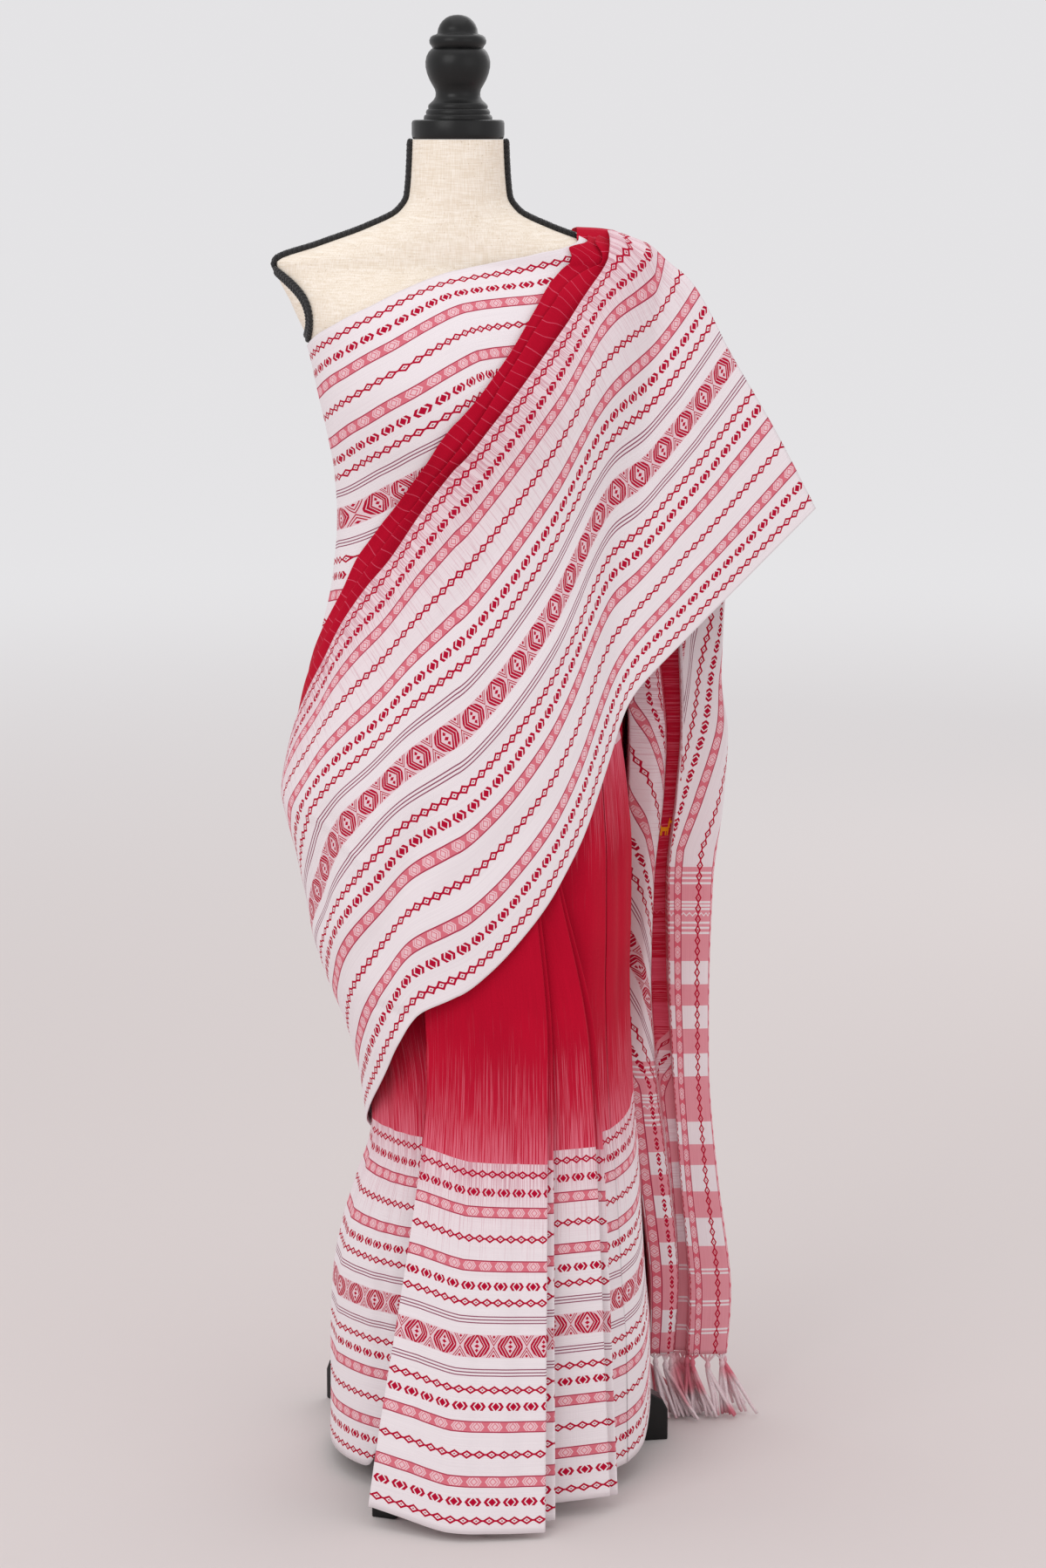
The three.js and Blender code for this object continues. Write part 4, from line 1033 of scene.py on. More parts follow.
# Height of the two colour edges: angle, top of the lower border, foot of the upper one
# At 58 and 262 degrees they meet the pleats and the pallu; between, they are guessed
HIP_BANDS = [[58, 404, 814], [90, 418, 822], [130, 500, 742], [180, 575, 776],
             [230, 685, 842], [262, 742, 890]]
HIP_CREASES = [
    (-4, 5, [(75, 62), (72, 110), (68, 150)]), (4, 4, [(96, 40), (92, 100), (84, 150)]),
    (-4, 5, [(128, 55), (118, 105), (104, 150)]), (4.5, 5, [(150, 60), (144, 110), (128, 160)]),
    (-4, 5, [(178, 70), (170, 120), (150, 165)]), (4, 5, [(208, 80), (200, 130), (182, 175)]),
    (-3.5, 4, [(236, 100), (232, 130), (214, 180)]), (3, 4, [(246, 66), (240, 110), (228, 150)]),
]
print("lower edge", HIP_LOWER[0][1], "to", HIP_LOWER[-1][1], "mm above the floor")


# %% Second wrap
def hip_wrap():
    angles = np.linspace(WRAP_START + 0.5, WRAP_END, 230)
    share = np.linspace(0, 1, 150)
    low, high = read(HIP_LOWER, 1, angles)[:, None], read(HIP_UPPER, 1, angles)[:, None]
    first, second = read(HIP_BANDS, 1, angles)[:, None], read(HIP_BANDS, 2, angles)[:, None]
    z = low + (high - low) * share[None, :]
    angle = np.broadcast_to(angles[:, None], z.shape)
    points = body_point(HIP, angle, z)
    # At the side seam it comes to the surface of the pieces it goes on as
    upper_part = fade(745, 900, z)[..., None]
    front = body_point(WRAP, angle, z) * (1 - upper_part)
    front = front + off_body(FORM, angle, z, 6.0) * upper_part
    joined = fade(246, 262, angle)[..., None]
    points = points * (1 - joined) + front * joined
    lift = crease_height(angle, z / HEIGHT_SCALE, HIP_CREASES)
    edge = fade(0, 0.06, share) * fade(0, 0.06, 1 - share)
    points = points + grid_normals(points) * (lift * edge[None, :])[..., None]
    lower = (z - low) / (first - low) * BORDER
    field = BORDER + (z - first) / (second - first) * (CUT_WIDTH - 2 * BORDER)
    upper = CUT_WIDTH - BORDER + (z - second)
    v = np.where(z < first, lower, np.where(z < second, field, upper))
    u = U_HIP + np.broadcast_to((angles[:, None] - WRAP_START) * WRAP_STEP, z.shape)
    return cloth_sheet("second_wrap", points, u, v)


second_wrap = hip_wrap()
finish_piece(second_wrap, COTTON, ["hip_wrap"])

# %% [markdown]
# ## Across the chest
#
# The upper border lies on the chest and passes under the arm. Below it the red
# field is folded twice, like a fan, and each fold lies over the one above. The
# weave follows each layer's own upper edge, so u and v are measured from there.

# %% Edges of the layers on the chest
# Angle, then the upper edges of border, first fold, second fold and pallu, and the
# pallu's lower edge
EDGES = np.array([
    [-98, 1252, 890, 815, 742, 372], [-90, 1255, 897, 830, 760, 384],
    [-80, 1258, 925, 885, 845, 397], [-70, 1264, 955, 920, 885, 412],
    [-60, 1271, 990, 955, 920, 430], [-50, 1278, 1029, 995, 965, 450],
    [-40, 1287, 1055, 1025, 998, 474], [-28, 1299, 1088, 1060, 1031, 508],
    [-15, 1315, 1128, 1102, 1078, 546], [0, 1335, 1183, 1154, 1133, 568],
    [10, 1346, 1217, 1196, 1180, 595], [20, 1351, 1260, 1240, 1226, 630],
    [30, 1355, 1322, 1290, 1271, 669], [35, 1356, 1345, 1313, 1292, 693],
    [42, 1358, 1356, 1332, 1317, 728],
    [55, 1362, 1358.5, 1355, 1351, 797], [70, 1367, 1364, 1360.5, 1357, 851],
    [90, 1371, 1368, 1363, 1357, 876],
])
TUCK, FOLD_TUCK, SHOULDER_TUCK = 14, 60, 3
SIDE_SEAM = -98
U_CHEST = 1900
# The folds show plain field, so their weave is measured from inside it
PLAIN_FIELD = 600
print("the border is", EDGES[0, 1] - EDGES[0, 2], "mm high at the side")


# %% A layer and its measure
def from_edge(points, edge):
    """Distance of each point from an edge line, and how far along the edge it is."""
    length = arc_length(edge)
    flat = points.reshape(-1, 3)
    far = np.empty(len(flat))
    along = np.empty(len(flat))
    for start in range(0, len(flat), 2000):
        block = flat[start:start + 2000]
        gaps = np.linalg.norm(block[:, None] - edge[None], axis=-1)
        near = gaps.argmin(axis=1)
        far[start:start + 2000] = gaps[np.arange(len(block)), near]
        along[start:start + 2000] = length[near]
    return far.reshape(points.shape[:2]), along.reshape(points.shape[:2])


def layer(name, upper, lower, out, top_v, rows, roll, under=TUCK):
    """One layer on the chest; roll lifts its upper edge, under is how far it is tucked."""
    angles = np.linspace(SIDE_SEAM + 0.2, 89.6, 330)
    tuck = under + (SHOULDER_TUCK - under) * fade(40, 80, angles)
    high = read(EDGES, upper, angles)
    low = read(EDGES, lower, angles) - tuck
    share = np.linspace(0, 1, rows)
    z = low[:, None] + (high - low)[:, None] * share[None, :]
    angle = np.broadcast_to(angles[:, None], z.shape)
    lift = roll * np.exp(-(((1 - share) / 0.2) ** 2)) * (1 - fade(40, 75, angles))[:, None]
    points = off_body(FORM, angle, z, out)
    points = points + grid_normals(points) * lift[..., None]
    fine = np.linspace(SIDE_SEAM, 90, 900)
    edge = off_body(FORM, fine, read(EDGES, upper, fine), out)
    far, along = from_edge(points, edge)
    # Even out the measure where the edge curves, so that no figure is stretched
    for _ in range(160):
        along[1:-1] = 0.5 * along[1:-1] + 0.25 * (along[:-2] + along[2:])
    return cloth_sheet(name, points, U_CHEST - along, top_v - far)


# %% Chest border and the two red folds
chest = layer("chest_border_cloth", 1, 2, 5.6, CUT_WIDTH, 70, 0.0)
finish_piece(chest, COTTON, ["chest_border"])
fold_one = layer("red_fold_one", 2, 3, 9.6, PLAIN_FIELD, 26, 1.2)
finish_piece(fold_one, COTTON, ["red_fold_upper"])
fold_two = layer("red_fold_two", 3, 4, 13.2, PLAIN_FIELD, 34, 1.2, under=FOLD_TUCK)
finish_piece(fold_two, COTTON, ["red_fold_lower"])

# %% [markdown]
# ## The pallu in front
#
# The lower border is spread over the front, from the hip up to the shoulder. On
# its outer side it leaves the body as a cape: it drops into a deep valley, then
# rises to the ridge where it turns to the back.

# %% The cape's valley and ridge, and the creases
CAPE = [
    # width along the cloth, valley x, y, z, ridge x, z
    [0, 185, -62, 877, 391, 1077], [95, 190, -54, 985, 347, 1160],
    [190, 197, -42, 1115, 298, 1243], [285, 210, -26, 1265, 252, 1324],
    [320, 213, -26, 1308, 225, 1347], [345, 210, -22, 1352, 206, 1364],
    [360, 190, -16, 1370, 189, 1371], [377, 161, -10, 1379, 167, 1379],
]
PALLU_LAST = 62
RIDGE_GAP = 0.3
WRAP_RISE = 20
# Height, width and path in (x, z), all in mm
PALLU_CREASES = [
    (-7.5, 16, [(-138, 800), (-150, 700), (-165, 600)]),
    (-8.5, 20, [(-20, 800), (-61, 681), (-109, 556)]),
    (4.5, 18, [(-78, 800), (-104, 690), (-136, 570)]),
    (2.2, 5, [(-179, 766), (-130, 731), (-81, 694)]),
    (-2.0, 7, [(-113, 700), (-106, 668)]),
    (-2.4, 6, [(-106, 553), (-76, 548), (-40, 541)]),
    (3.0, 16, [(-90, 960), (-30, 1050), (40, 1150)]),
    (-2.6, 14, [(-110, 880), (-20, 960), (70, 1080)]),
    (-2.4, 15, [(20, 900), (90, 1000), (150, 1120)]),
    (2.6, 15, [(-20, 800), (70, 880), (150, 1010)]),
    (-2.8, 16, [(-70, 640), (20, 700), (120, 800)]),
    (2.4, 14, [(-110, 480), (-40, 530), (40, 610)]),
]
CAPE_CREASES = [
    (-4.5, 9, [(236, 1205), (288, 1130), (335, 1060)]),
    (3.5, 12, [(215, 1240), (262, 1160), (300, 1085)]),
    (-3.0, 12, [(205, 1150), (240, 1060), (262, 985)]),
]
CAPE_WIDTH = CAPE[-1][0]
print(len(PALLU_CREASES) + len(CAPE_CREASES), "creases on", CAPE_WIDTH, "mm of width")


# %% Pallu
def pallu_front():
    share = np.linspace(0, 1, 170)
    angles = np.linspace(SIDE_SEAM + 0.2, PALLU_LAST, 170)
    edge = read(EDGES, 4, angles)
    high = edge + WRAP_RISE * fade(1280, 1345, edge)
    low = read(EDGES, 5, angles)
    z = low[:, None] + (high - low)[:, None] * share[None, :]
    body = body_point(WRAP, np.broadcast_to(angles[:, None], z.shape), z)
    width = share * CAPE_WIDTH
    valley = np.stack([read(CAPE, k, width) for k in (1, 2, 3)], axis=-1)
    ridge = np.stack([read(CAPE, 4, width), np.full_like(width, -RIDGE_GAP),
                      read(CAPE, 5, width)], axis=-1)
    inner = np.linspace(0, 1, 14)[1:-1, None, None]
    to_valley = body[-1][None] * (1 - inner) + valley[None] * inner
    outer = np.linspace(0, 1, 60)[:, None, None]
    cape = valley[None] * (1 - outer) + ridge[None] * outer
    # The cape bellies out a little between valley and ridge
    belly = 7 * np.sin(math.pi * outer) * np.sin(math.pi * share)[None, :, None]
    cape = cape + belly * np.array([0.25, -0.95, -0.2])
    points = np.concatenate([body, to_valley, cape], axis=0)
    # Round the valley: average each point with its neighbours along the row
    first, last = len(body) - 16, len(body) + 34
    for _ in range(44):
        middle = points[first:last] * 0.5
        points[first:last] = middle + 0.25 * (points[first - 1:last - 1]
                                              + points[first + 1:last + 1])
    normal = grid_normals(points)
    lift = crease_height(points[..., 0], points[..., 2], PALLU_CREASES)
    on_body = 1 - fade(0, 20, np.arange(len(points)) - len(body) + 10)
    lift = lift * on_body[:, None]
    on_cape = fade(0, 14, np.arange(len(points)) - len(body) - 4)
    on_cape = on_cape * (1 - fade(0.8, 1, np.arange(len(points)) / len(points)))
    lift += crease_height(points[..., 0], points[..., 2], CAPE_CREASES) * on_cape[:, None]
    seam = fade(0, 12, np.arange(len(points)))
    points = points + normal * (lift * seam[:, None])[..., None]
    along = arc_length(points)
    u = 1300 + along[-1][None, :] - along
    v = np.broadcast_to(width[None, :], u.shape)
    return cloth_sheet("pallu_spread", points, u, v)


pallu = pallu_front()
finish_piece(pallu, COTTON, ["pallu_front"])

# %% [markdown]
# ## The pallu's tail
#
# Behind the shoulder the whole width of the cloth hangs in deep folds to near
# the floor. A table gives the folds across the width, another the way they
# gather below the shoulder. Much of the real cloth lies in closed folds, which
# aren't made, so one more table says which part of the width shows on each fold.

# %% Folds of the tail
# Place in the cloth's width, then share across and share of the depth
TAIL_FOLDS = [
    [0, 0.02, 0.55], [50, 0, 0.06], [130, 0.275, 0], [165, 0.285, 0.19],
    [240, 0.37, 0.19], [325, 0.385, 0.1], [377, 0.46, 0.04], [415, 0.575, 0.06],
    [502, 0.59, 0.98], [524, 0.615, 1.0], [610, 0.645, 0.07], [645, 0.71, 0.04],
    [730, 0.745, 0.97], [752, 0.785, 1.0], [836, 0.815, 0.06], [866, 0.875, 0.04],
    [950, 0.905, 0.96], [970, 0.94, 0.98], [1054, 0.97, 0.08], [1084, 1, 0.1],
    [1170, 1.015, 0.96],
]
TAIL_SHOULDER = [
    # gather, depth, lift, then x, y, z at seven places across
    (0, 0, 0, [[391, 0, 1077], [298, 0, 1243], [254, 0, 1323], [212, 0, 1360], [167, 0, 1379],
               [150, 0, 1381], [128, 0, 1382]]),
    (0, 1, 75, [[374, 16, 1072], [290, 18, 1222], [250, 20, 1303], [212, 24, 1343],
                [172, 30, 1371], [150, 36, 1375], [124, 40, 1378]]),
    (0.1, 8, 40, [[345, 40, 1050], [270, 48, 1165], [238, 54, 1235], [208, 60, 1290],
                  [180, 64, 1328], [150, 78, 1337], [116, 88, 1341]]),
    (0.5, 40, 5, [[303, 66, 985], [256, 78, 1050], [236, 90, 1100], [218, 98, 1145],
                  [203, 104, 1180], [158, 126, 1190], [112, 128, 1195]]),
    (1, 80, 0, [[294, 80, 885], [264, 80, 895], [254, 80, 898], [244, 81, 902], [236, 82, 905],
                [172, 108, 915], [112, 140, 920]]),
]
ACROSS = [0, 0.16, 0.24, 0.29, 0.32, 0.66, 1]
TAIL_HANG = [
    # height, right and left ends, front, depth of the folds
    (812, 303, 112, 82, 88), (740, 298, 112, 82, 88), (640, 284, 112, 84, 88),
    (540, 281, 116, 88, 86), (430, 284, 126, 92, 84), (303, 296, 140, 98, 82),
    (157, 311, 150, 104, 80), (76, 306, 150, 106, 80),
]
TAIL_BODY_X, TAIL_BODY_SLOPE = 190, 0.98
print("tail from", CAPE[-1][-1], "to", TAIL_HANG[-1][0], "mm above the floor")

# %% Which part of the width shows on each fold
# Place in the fold table, then place in the cloth's width. From the outer edge come
# border, a strip of red field, border again, and then the folds behind.
TAIL_WEAVE = [
    [0, 0], [130, 130], [150, 260], [165, 436], [240, 456], [300, 466], [325, 150],
    [415, 100], [502, 502], [1170, 1170],
]
# On the second piece: how much the bands slant, from which height, how far up, and
# how much further from the end the cloth is there. Then the same slant on the first.
SLANT, SLANT_FROM, SLANT_REACH, TURNED_U = 0.5, 400, 450, 230
OUTER_SLANT, OUTER_FROM, OUTER_REACH = 0.27, 680, 260
# Near the hem the border covers the red strip
STRIP_SHIFT, STRIP_FROM, STRIP_TO = 130, 380, 540
print("red strip", TAIL_WEAVE[3][1], "to", TAIL_WEAVE[5][1], "mm from the selvedge")


# %% The tail's grid
def tail_rows():
    """Gather, depth, lift and seven base points of each row, from ridge to hem."""
    rows = list(TAIL_SHOULDER)
    for z, right, left, front, depth in TAIL_HANG:
        xs = [right + (left - right) * share for share in ACROSS]
        base = [[x, front + max(0, TAIL_BODY_X - x) * TAIL_BODY_SLOPE, z] for x in xs]
        rows.append((1, depth, 0, base))
    return rows


def tail_grid(v, steps):
    """Points of the tail at widths v, with a number of steps between its rows."""
    rows = tail_rows()
    table = np.array([[*figures, *np.ravel(base)] for *figures, base in rows])
    place = np.arange(len(rows), dtype=float)
    fine = np.linspace(0, len(rows) - 1, (len(rows) - 1) * steps + 1)
    values = np.stack([smooth(place, table[:, k], fine) for k in range(table.shape[1])], axis=-1)
    fold_share, fold_depth = read(TAIL_FOLDS, 1, v), read(TAIL_FOLDS, 2, v)
    points = np.empty((len(v), len(fine), 3))
    for j, row in enumerate(values):
        gather, depth, lift = row[:3]
        base = row[3:].reshape(7, 3)
        share = v / CUT_WIDTH * (1 - gather) + fold_share * gather
        spot = np.stack([smooth(ACROSS, base[:, k], share) for k in range(3)], axis=-1)
        out = depth * fold_depth + RIDGE_GAP
        spot[:, 1] += out * math.cos(math.radians(lift))
        spot[:, 2] += out * math.sin(math.radians(lift))
        points[:, j] = spot
    # For the border's width the first row is the cape's own ridge
    width = np.clip(v, 0, CAPE_WIDTH)
    ridge = np.stack([read(CAPE, 4, width), np.full_like(width, RIDGE_GAP),
                      read(CAPE, 5, width)], axis=-1)
    gap = (ridge - points[:, 0]) * (1 - fade(CAPE_WIDTH, 430, v))[:, None]
    eased = 1 - fade(0, max(steps, 1), np.arange(len(fine)))
    return points + gap[:, None] * eased[None, :, None]


print("outer edge at the hem", tail_grid(np.array([0.0]), 1)[0, -1].round(), "mm")


# %% Tail
def tail():
    v = np.linspace(0, CUT_WIDTH, 300)
    points = tail_grid(v, 13)
    # Below the shoulder it sways a little, so that no edge is quite straight
    hang = fade(0, 250, 1000 - points[..., 2])
    sway = 2.2 * np.sin(points[..., 2] / 83 + v[:, None] / 61) * hang
    points[..., 0] += sway
    points[..., 1] += 1.5 * np.sin(points[..., 2] / 57 + v[:, None] / 43) * hang
    down = arc_length(points, axis=1)
    u = down[:, -1:] - down
    weave = np.array(TAIL_WEAVE, float)
    across = np.interp(v, weave[:, 0], weave[:, 1])[:, None] * np.ones_like(u)
    # The bands of the second piece run aslant, because its cloth hangs turned
    height = points[..., 2]
    turned = (fade(305, 325, v) * (1 - fade(415, 440, v)))[:, None]
    across = across + turned * SLANT * np.clip(height - SLANT_FROM, 0, SLANT_REACH)
    u = u + turned * TURNED_U
    outer = (1 - fade(120, 135, v))[:, None]
    across = across + outer * OUTER_SLANT * np.clip(height - OUTER_FROM, 0, OUTER_REACH)
    strip = (fade(145, 160, v) * (1 - fade(300, 320, v)))[:, None]
    across = across - strip * STRIP_SHIFT * (1 - fade(STRIP_FROM, STRIP_TO, height))
    # Above the folds the weave is as it comes over the shoulder
    loose = fade(1000, 1200, height)
    across = across * (1 - loose) + v[:, None] * loose
    # Over the shoulder only the red field shows, on top of the gathered folds
    on_top = fade(1335, 1372, height) * fade(CAPE_WIDTH, 400, v)[:, None]
    across = across * (1 - on_top) + PLAIN_FIELD * on_top
    return cloth_sheet("pallu_tail_cloth", points, u, across, side=-1)


tail_cloth = tail()
finish_piece(tail_cloth, COTTON, ["pallu_tail"])


# %% Where the cloth rolls over the shoulder
def shoulder_roll():
    """Where the cloth of the chest rises over the shoulder and becomes the tail."""
    v = np.linspace(362, CUT_WIDTH, 90)
    top = tail_grid(v, 1)[:, 0]
    t = np.linspace(0, 1, 16)[None, :, None]
    forward = np.concatenate([0 * t, -24 * t, -13.5 * t ** 1.7], axis=-1)
    points = top[:, None] + forward
    along = 1300 + arc_length(points, axis=1)
    inner = fade(CAPE_WIDTH, 400, v)[:, None]
    width = v[:, None] * (1 - inner) + PLAIN_FIELD * inner + 0 * along
    return cloth_sheet("shoulder_roll", points, along, width, side=1)


roll = shoulder_roll()
finish_piece(roll, COTTON)

# %% [markdown]
# ## Fringe
#
# The warp ends are knotted in small bunches below the last weft. Each tassel is
# a knot with five soft cords that fall to the floor and splay there. The yarn is
# twisted cotton, white and dyed, so it looks matt, a little hairy and mottled.

# %% Yarn
def cotton_yarn_material(name):
    material, tree = new_material(name)
    place = add(tree, "TexCoord").outputs["Object"]
    twist = add(tree, "TexNoise", sockets={"Vector": place, "Scale": 900, "Detail": 2})
    wide = add(tree, "TexNoise", sockets={"Vector": place, "Scale": 22, "Detail": 1})
    share = add(tree, "MapRange", wide, 0.44, 0.62, 0, 0.85)
    base = add(tree, "Mix", share, colour("F1E3E6"), colour("D9506A"), data_type="RGBA")
    base = add(tree, "Mix", add(tree, "MapRange", twist, 0.3, 0.7, 0, 0.3), base, colour("B93450"),
               data_type="RGBA")
    bump = add(tree, "Bump", sockets={"Strength": 0.5, "Distance": 0.0005, "Height": twist})
    shader = add(tree, "BsdfPrincipled", sockets={
        "Base Color": base, "Roughness": 0.88, "Normal": bump, "Sheen Weight": 0.15})
    add(tree, "OutputMaterial", shader)
    return material


YARN = cotton_yarn_material("cotton_yarn")
print("yarn:", len(YARN.node_tree.nodes), "nodes")


# %% A tube along a line
def tube(line, radii, sides, spots, faces):
    """Adds a closed tube along a line to the lists of points and faces."""
    line = np.asarray(line, float)
    way = np.gradient(line, axis=0)
    way /= np.linalg.norm(way, axis=-1, keepdims=True)
    flat = np.cross(way, [0.31, 0.95, 0.05])
    flat /= np.linalg.norm(flat, axis=-1, keepdims=True)
    up = np.cross(way, flat)
    start = len(spots)
    for k, radius in enumerate(radii):
        for turn in np.arange(sides) * 2 * math.pi / sides:
            spots.append(line[k] + radius * (math.cos(turn) * flat[k] + math.sin(turn) * up[k]))
    for k in range(len(line) - 1):
        for j in range(sides):
            a, b = start + k * sides + j, start + k * sides + (j + 1) % sides
            faces.append((a, b, b + sides, a + sides))
    faces.append(tuple(start + j for j in reversed(range(sides))))
    faces.append(tuple(start + (len(line) - 1) * sides + j for j in range(sides)))


trial_spots, trial_faces = [], []
tube([[0, 0, 0], [0, 0, 10]], [1, 1], 4, trial_spots, trial_faces)
print("a short square tube has", len(trial_faces), "faces")


# %% Tassels
TASSELS, THREADS = 46, 5
KNOT_HEIGHT, HEM_HEIGHT, FLOOR_GAP = 63, 75.0, 2.6
# Outline of a knot: height from its middle, and radius
KNOT_HEIGHTS = np.array([8.5, 6, 4, 2, 0, -2.5, -5])
KNOT_RADII = np.array([1.6, 1.9, 3.0, 3.6, 3.5, 2.6, 1.7])
# Places along the hem that the warp ends of one knot come from
WARP_ENDS = (-7, -2.5, 2.5, 7)


def knot_height(k):
    return KNOT_HEIGHT + 3 * math.sin(k * 1.7)


def fringe():
    rng = np.random.default_rng(11)
    v = (np.arange(TASSELS) + 0.5) * CUT_WIDTH / TASSELS
    roots = tail_grid(v, 1)[:, -1]
    middle = tail_grid(np.array([CUT_WIDTH / 2]), 1)[0, -1]
    spots, faces = [], []
    for k, root in enumerate(roots):
        away = (root - middle) * [1, 1, 0]
        away /= np.linalg.norm(away)
        splay = 14 + 9 * math.sin(k * 2.3)
        knot = np.array([root[0], root[1], knot_height(k)])
        tube(knot + KNOT_HEIGHTS[:, None] * [0, 0, 1], KNOT_RADII, 8, spots, faces)
        for thread in range(THREADS):
            turn = 2 * math.pi * thread / THREADS + k
            spread = np.array([math.cos(turn), math.sin(turn), 0]) * rng.uniform(2.5, 7.5)
            reach = splay * rng.uniform(0.4, 2.1)
            t = np.linspace(0, 1, 9)[:, None]
            foot = knot + spread + away * reach
            foot[2] = rng.uniform(2.8, 4.2)
            top = knot + [0, 0, -3]
            line = top + (foot - top) * t
            line[:, :2] += t * (1 - t) * spread[:2] * 0.9
            wave = np.sin(t * rng.uniform(5, 9) + thread) * 1.3 * t
            line += wave * [math.sin(turn), -math.cos(turn), 0]
            line[:, 2] = np.maximum(line[:, 2], FLOOR_GAP)
            tube(line, np.linspace(3.0, 1.8, 9), 4, spots, faces)
    for k, root in enumerate(roots):
        base = np.array([root[0], root[1], knot_height(k) + 6])
        for lean in WARP_ENDS:
            place = np.array([np.clip(v[k] + lean * 1.6, 1, CUT_WIDTH - 1)])
            top = tail_grid(place, 1)[0, -1] * [1, 1, 0] + [0, 0, HEM_HEIGHT]
            t = np.linspace(0, 1, 4)[:, None]
            tube(top + (base - top) * t, np.full(4, 1.3), 4, spots, faces)
    mesh = bpy.data.meshes.new("knotted_fringe")
    mesh.from_pydata(packed(spots).tolist(), [], faces)
    mesh.polygons.foreach_set("use_smooth", [True] * len(mesh.polygons))
    piece = bpy.data.objects.new("knotted_fringe", mesh)
    bpy.context.collection.objects.link(piece)
    return piece


tassels = fringe()
finish_piece(tassels, YARN, ["fringe"])
print("fringe", len(tassels.data.polygons), "faces")

# %% [markdown]
# ## What each sheet was cut to
#
# The saree is one rectangle of 5.5 by 1.17 m. Each stretch is told here with the
# flat cloth that shows, from the saree's width, the girths and the tables above.
# None of it comes from the finished meshes, which are then measured against it.

# %% Flat sizes, in metres
# Cloth for each degree round the form's chest, in mm
GIRTH_STEP = 2.2


def strip_area(upper, lower, under):
    """Flat area of a layer on the chest: its heights, added up round the form."""
    angle = EDGES[:, 0]
    height = EDGES[:, upper] - EDGES[:, lower] + np.where(angle < 40, under, SHOULDER_TUCK)
    slices = np.diff(angle) * (height[1:] + height[:-1]) / 2
    return float(slices.sum() * GIRTH_STEP / 1e6)


# The pleats' cloth is as long at the waist as at the hem, where the folds stand open
hem_corners = [[x[0], y[0]] for _, _, x, y in PLEATS]
hem_corners += [body_point(HIP, angle, PLEAT_LEVELS[0])[:2] for angle in PLEAT_HIP]
pleat_length = float(arc_length(np.array(hem_corners))[-1] / 1000)

# The second wrap's upper border is partly hidden, so its width changes round the form
wrap_angles = np.linspace(WRAP_START, WRAP_END, 60)
wrap_top = CUT_WIDTH - BORDER + read(HIP_UPPER, 1, wrap_angles) - read(HIP_BANDS, 2, wrap_angles)
wrap_length = (WRAP_END - WRAP_START) * WRAP_STEP / 1000
wrap_area = float(wrap_top.mean() / 1000 * wrap_length)

# On the tail 130, 30 and 50 mm show in front and 668 mm behind, and no more is modelled:
# the rest lies in closed folds. Its upper end is cut aslant by the ridge.
tail_width = (130 + 30 + 50 + 668) / 1000
tail_area = 0.130 * 1.07 + (tail_width - 0.130) * 1.33
print("pleats", round(pleat_length, 2), "m long, second wrap", round(wrap_area, 3), "m2")

SHEETS = [
    # piece, width, length, area if not a rectangle, how it is held, what it rests on
    (first_wrap, 1.03, 0.94, None, "draped", ["linen_torso"]),
    (knife_pleats, 0.79, pleat_length, None, "gathered", ["first_wrap"]),
    (second_wrap, 1.17, wrap_length, wrap_area, "draped", ["linen_torso"]),
    (chest, 0.38, 0.58, strip_area(1, 2, TUCK), "draped", ["linen_torso"]),
    (fold_one, 0.08, 0.62, strip_area(2, 3, TUCK), "folded", ["chest_border_cloth"]),
    (fold_two, 0.13, 0.62, strip_area(3, 4, FOLD_TUCK), "folded", ["red_fold_one"]),
    (pallu, 0.377, 0.86, None, "draped", ["knife_pleats", "linen_torso"]),
    (tail_cloth, tail_width, 1.36, tail_area, "hung", ["linen_torso"]),
    (roll, 0.05, 0.03, None, "folded", ["chest_border_cloth", "linen_torso"]),
]
for piece, width, length, area, held, under in SHEETS:
    built = sum(polygon.area for polygon in piece.data.polygons) / 2
    flat = area or width * length
    print(piece.name, "flat", round(flat, 4), "m2, built", round(built, 4), "m2, share",
          round(built / flat, 2))
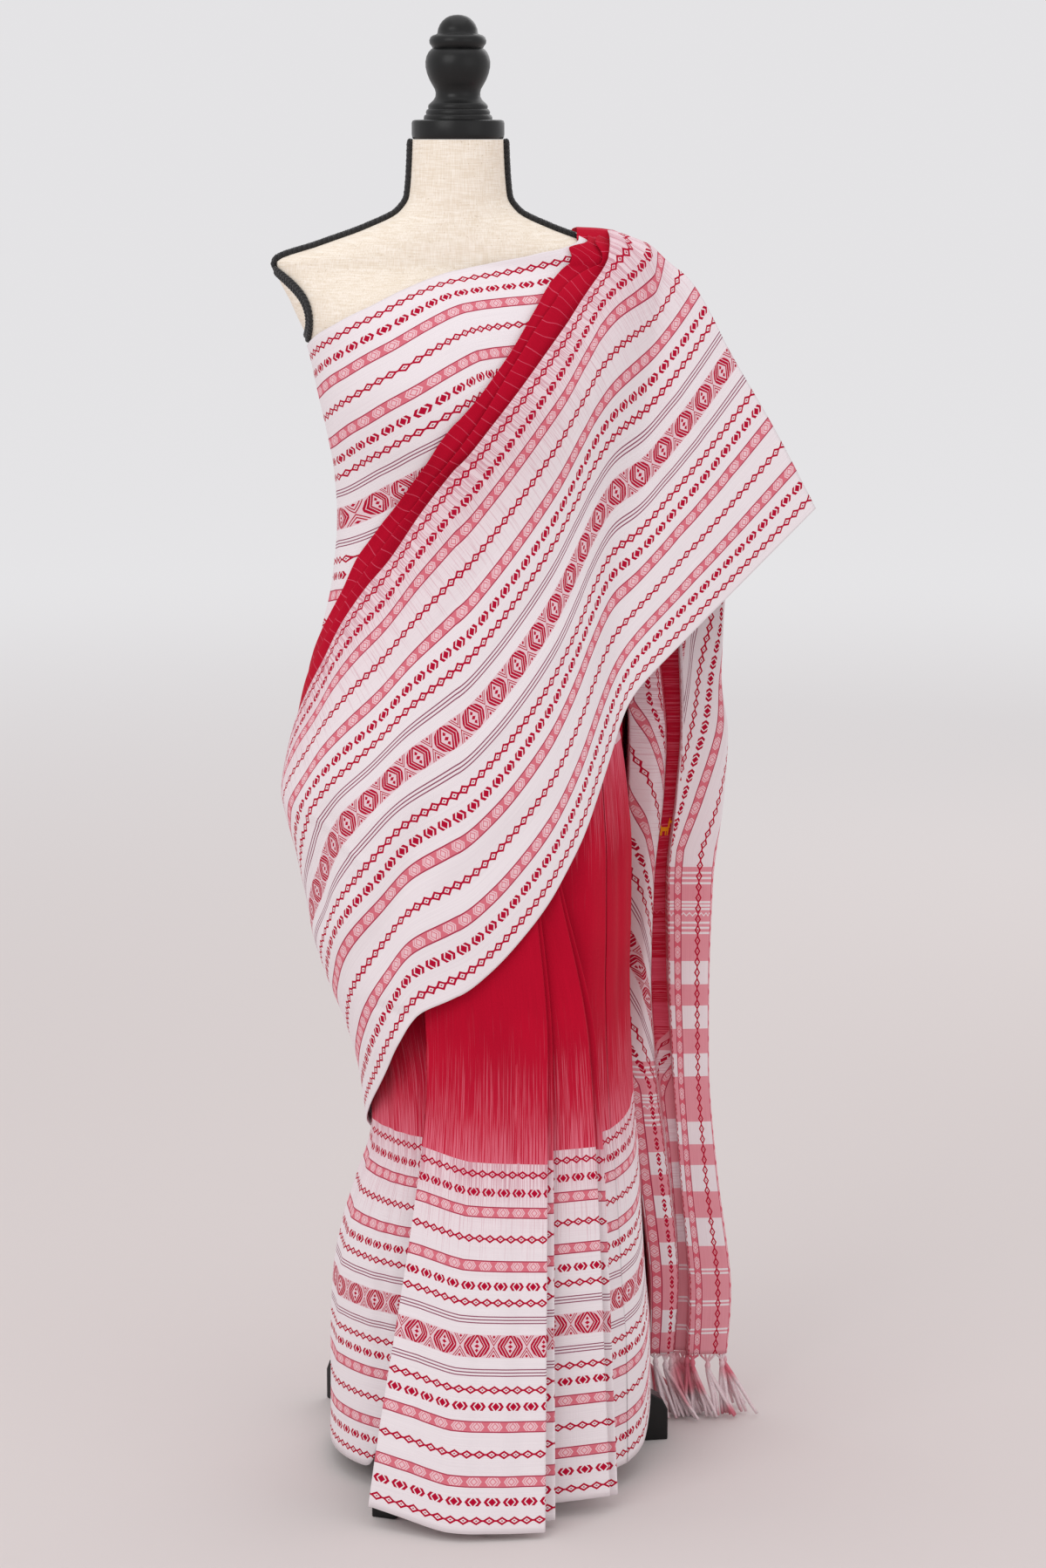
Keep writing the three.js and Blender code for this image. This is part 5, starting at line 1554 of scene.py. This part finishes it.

# %% [markdown]
# ## Floor and light
#
# The photograph was taken in a pale studio with soft light from all sides. Here
# the floor's colour is painted paler with distance, as painted light, until it
# equals the light behind it, so no edge shows and the object can be seen from every side.

# %% Studio
WORLD_COLOUR, WORLD_STRENGTH = "F4F3F5", 0.86
bpy.ops.object.select_all(action="DESELECT")
bpy.ops.mesh.primitive_plane_add(size=120, location=(0, 0, 0))
floor = bpy.context.object
floor.name = floor.data.name = "studio_floor"
# Background paper: quite matt, with no gloss at all
paper, tree = new_material("matt_paper")
distance = add(tree, "VectorMath", add(tree, "TexCoord").outputs["Object"], operation="LENGTH")
distance = distance.outputs["Value"]
# Painted light: the floor is painted paler with distance, up to white far away, so it fades into
# the bright light behind it
painted_light_fade = add(tree, "MapRange", distance, 1.5, 9, 0, 1, interpolation_type="SMOOTHSTEP")
tint = add(tree, "Mix", painted_light_fade, colour("DCD4D2"), colour("FFFFFF"), data_type="RGBA")
paper_shader = add(tree, "BsdfPrincipled", sockets={
    "Base Color": tint, "Roughness": 1.0, "Specular IOR Level": 0.0})
add(tree, "OutputMaterial", paper_shader)
floor.data.materials.append(paper)
print("floor", round(floor.dimensions.x), "m wide")

# %% Lights
LIGHTS = [
    # name, place, aim, size, watts
    ("key", (-2.4, -3.4, 3.2), (0, 0, 0.8), 2.6, 40),
    ("fill", (2.8, -3.2, 2.2), (0, 0, 0.9), 3.0, 9),
    ("top", (0, 0, 4.2), (0, 0, 0.8), 3.0, 16),
    ("rear", (1.6, 3.4, 3.0), (0, 0, 0.8), 2.6, 18),
]
for name, place, aim, size, watts in LIGHTS:
    light_data = bpy.data.lights.new(name, "AREA")
    light_data.size = size
    light_data.energy = watts
    light = bpy.data.objects.new(name, light_data)
    light.location = place
    light.rotation_euler = (Vector(aim) - Vector(place)).to_track_quat("-Z", "Y").to_euler()
    bpy.context.collection.objects.link(light)
world = bpy.data.worlds.new("studio")
world.use_nodes = True
world.node_tree.nodes["Background"].inputs["Color"].default_value = colour(WORLD_COLOUR)
world.node_tree.nodes["Background"].inputs["Strength"].default_value = WORLD_STRENGTH
bpy.context.scene.world = world
bpy.context.scene.view_settings.view_transform = "Standard"
print(len(LIGHTS), "soft lights")
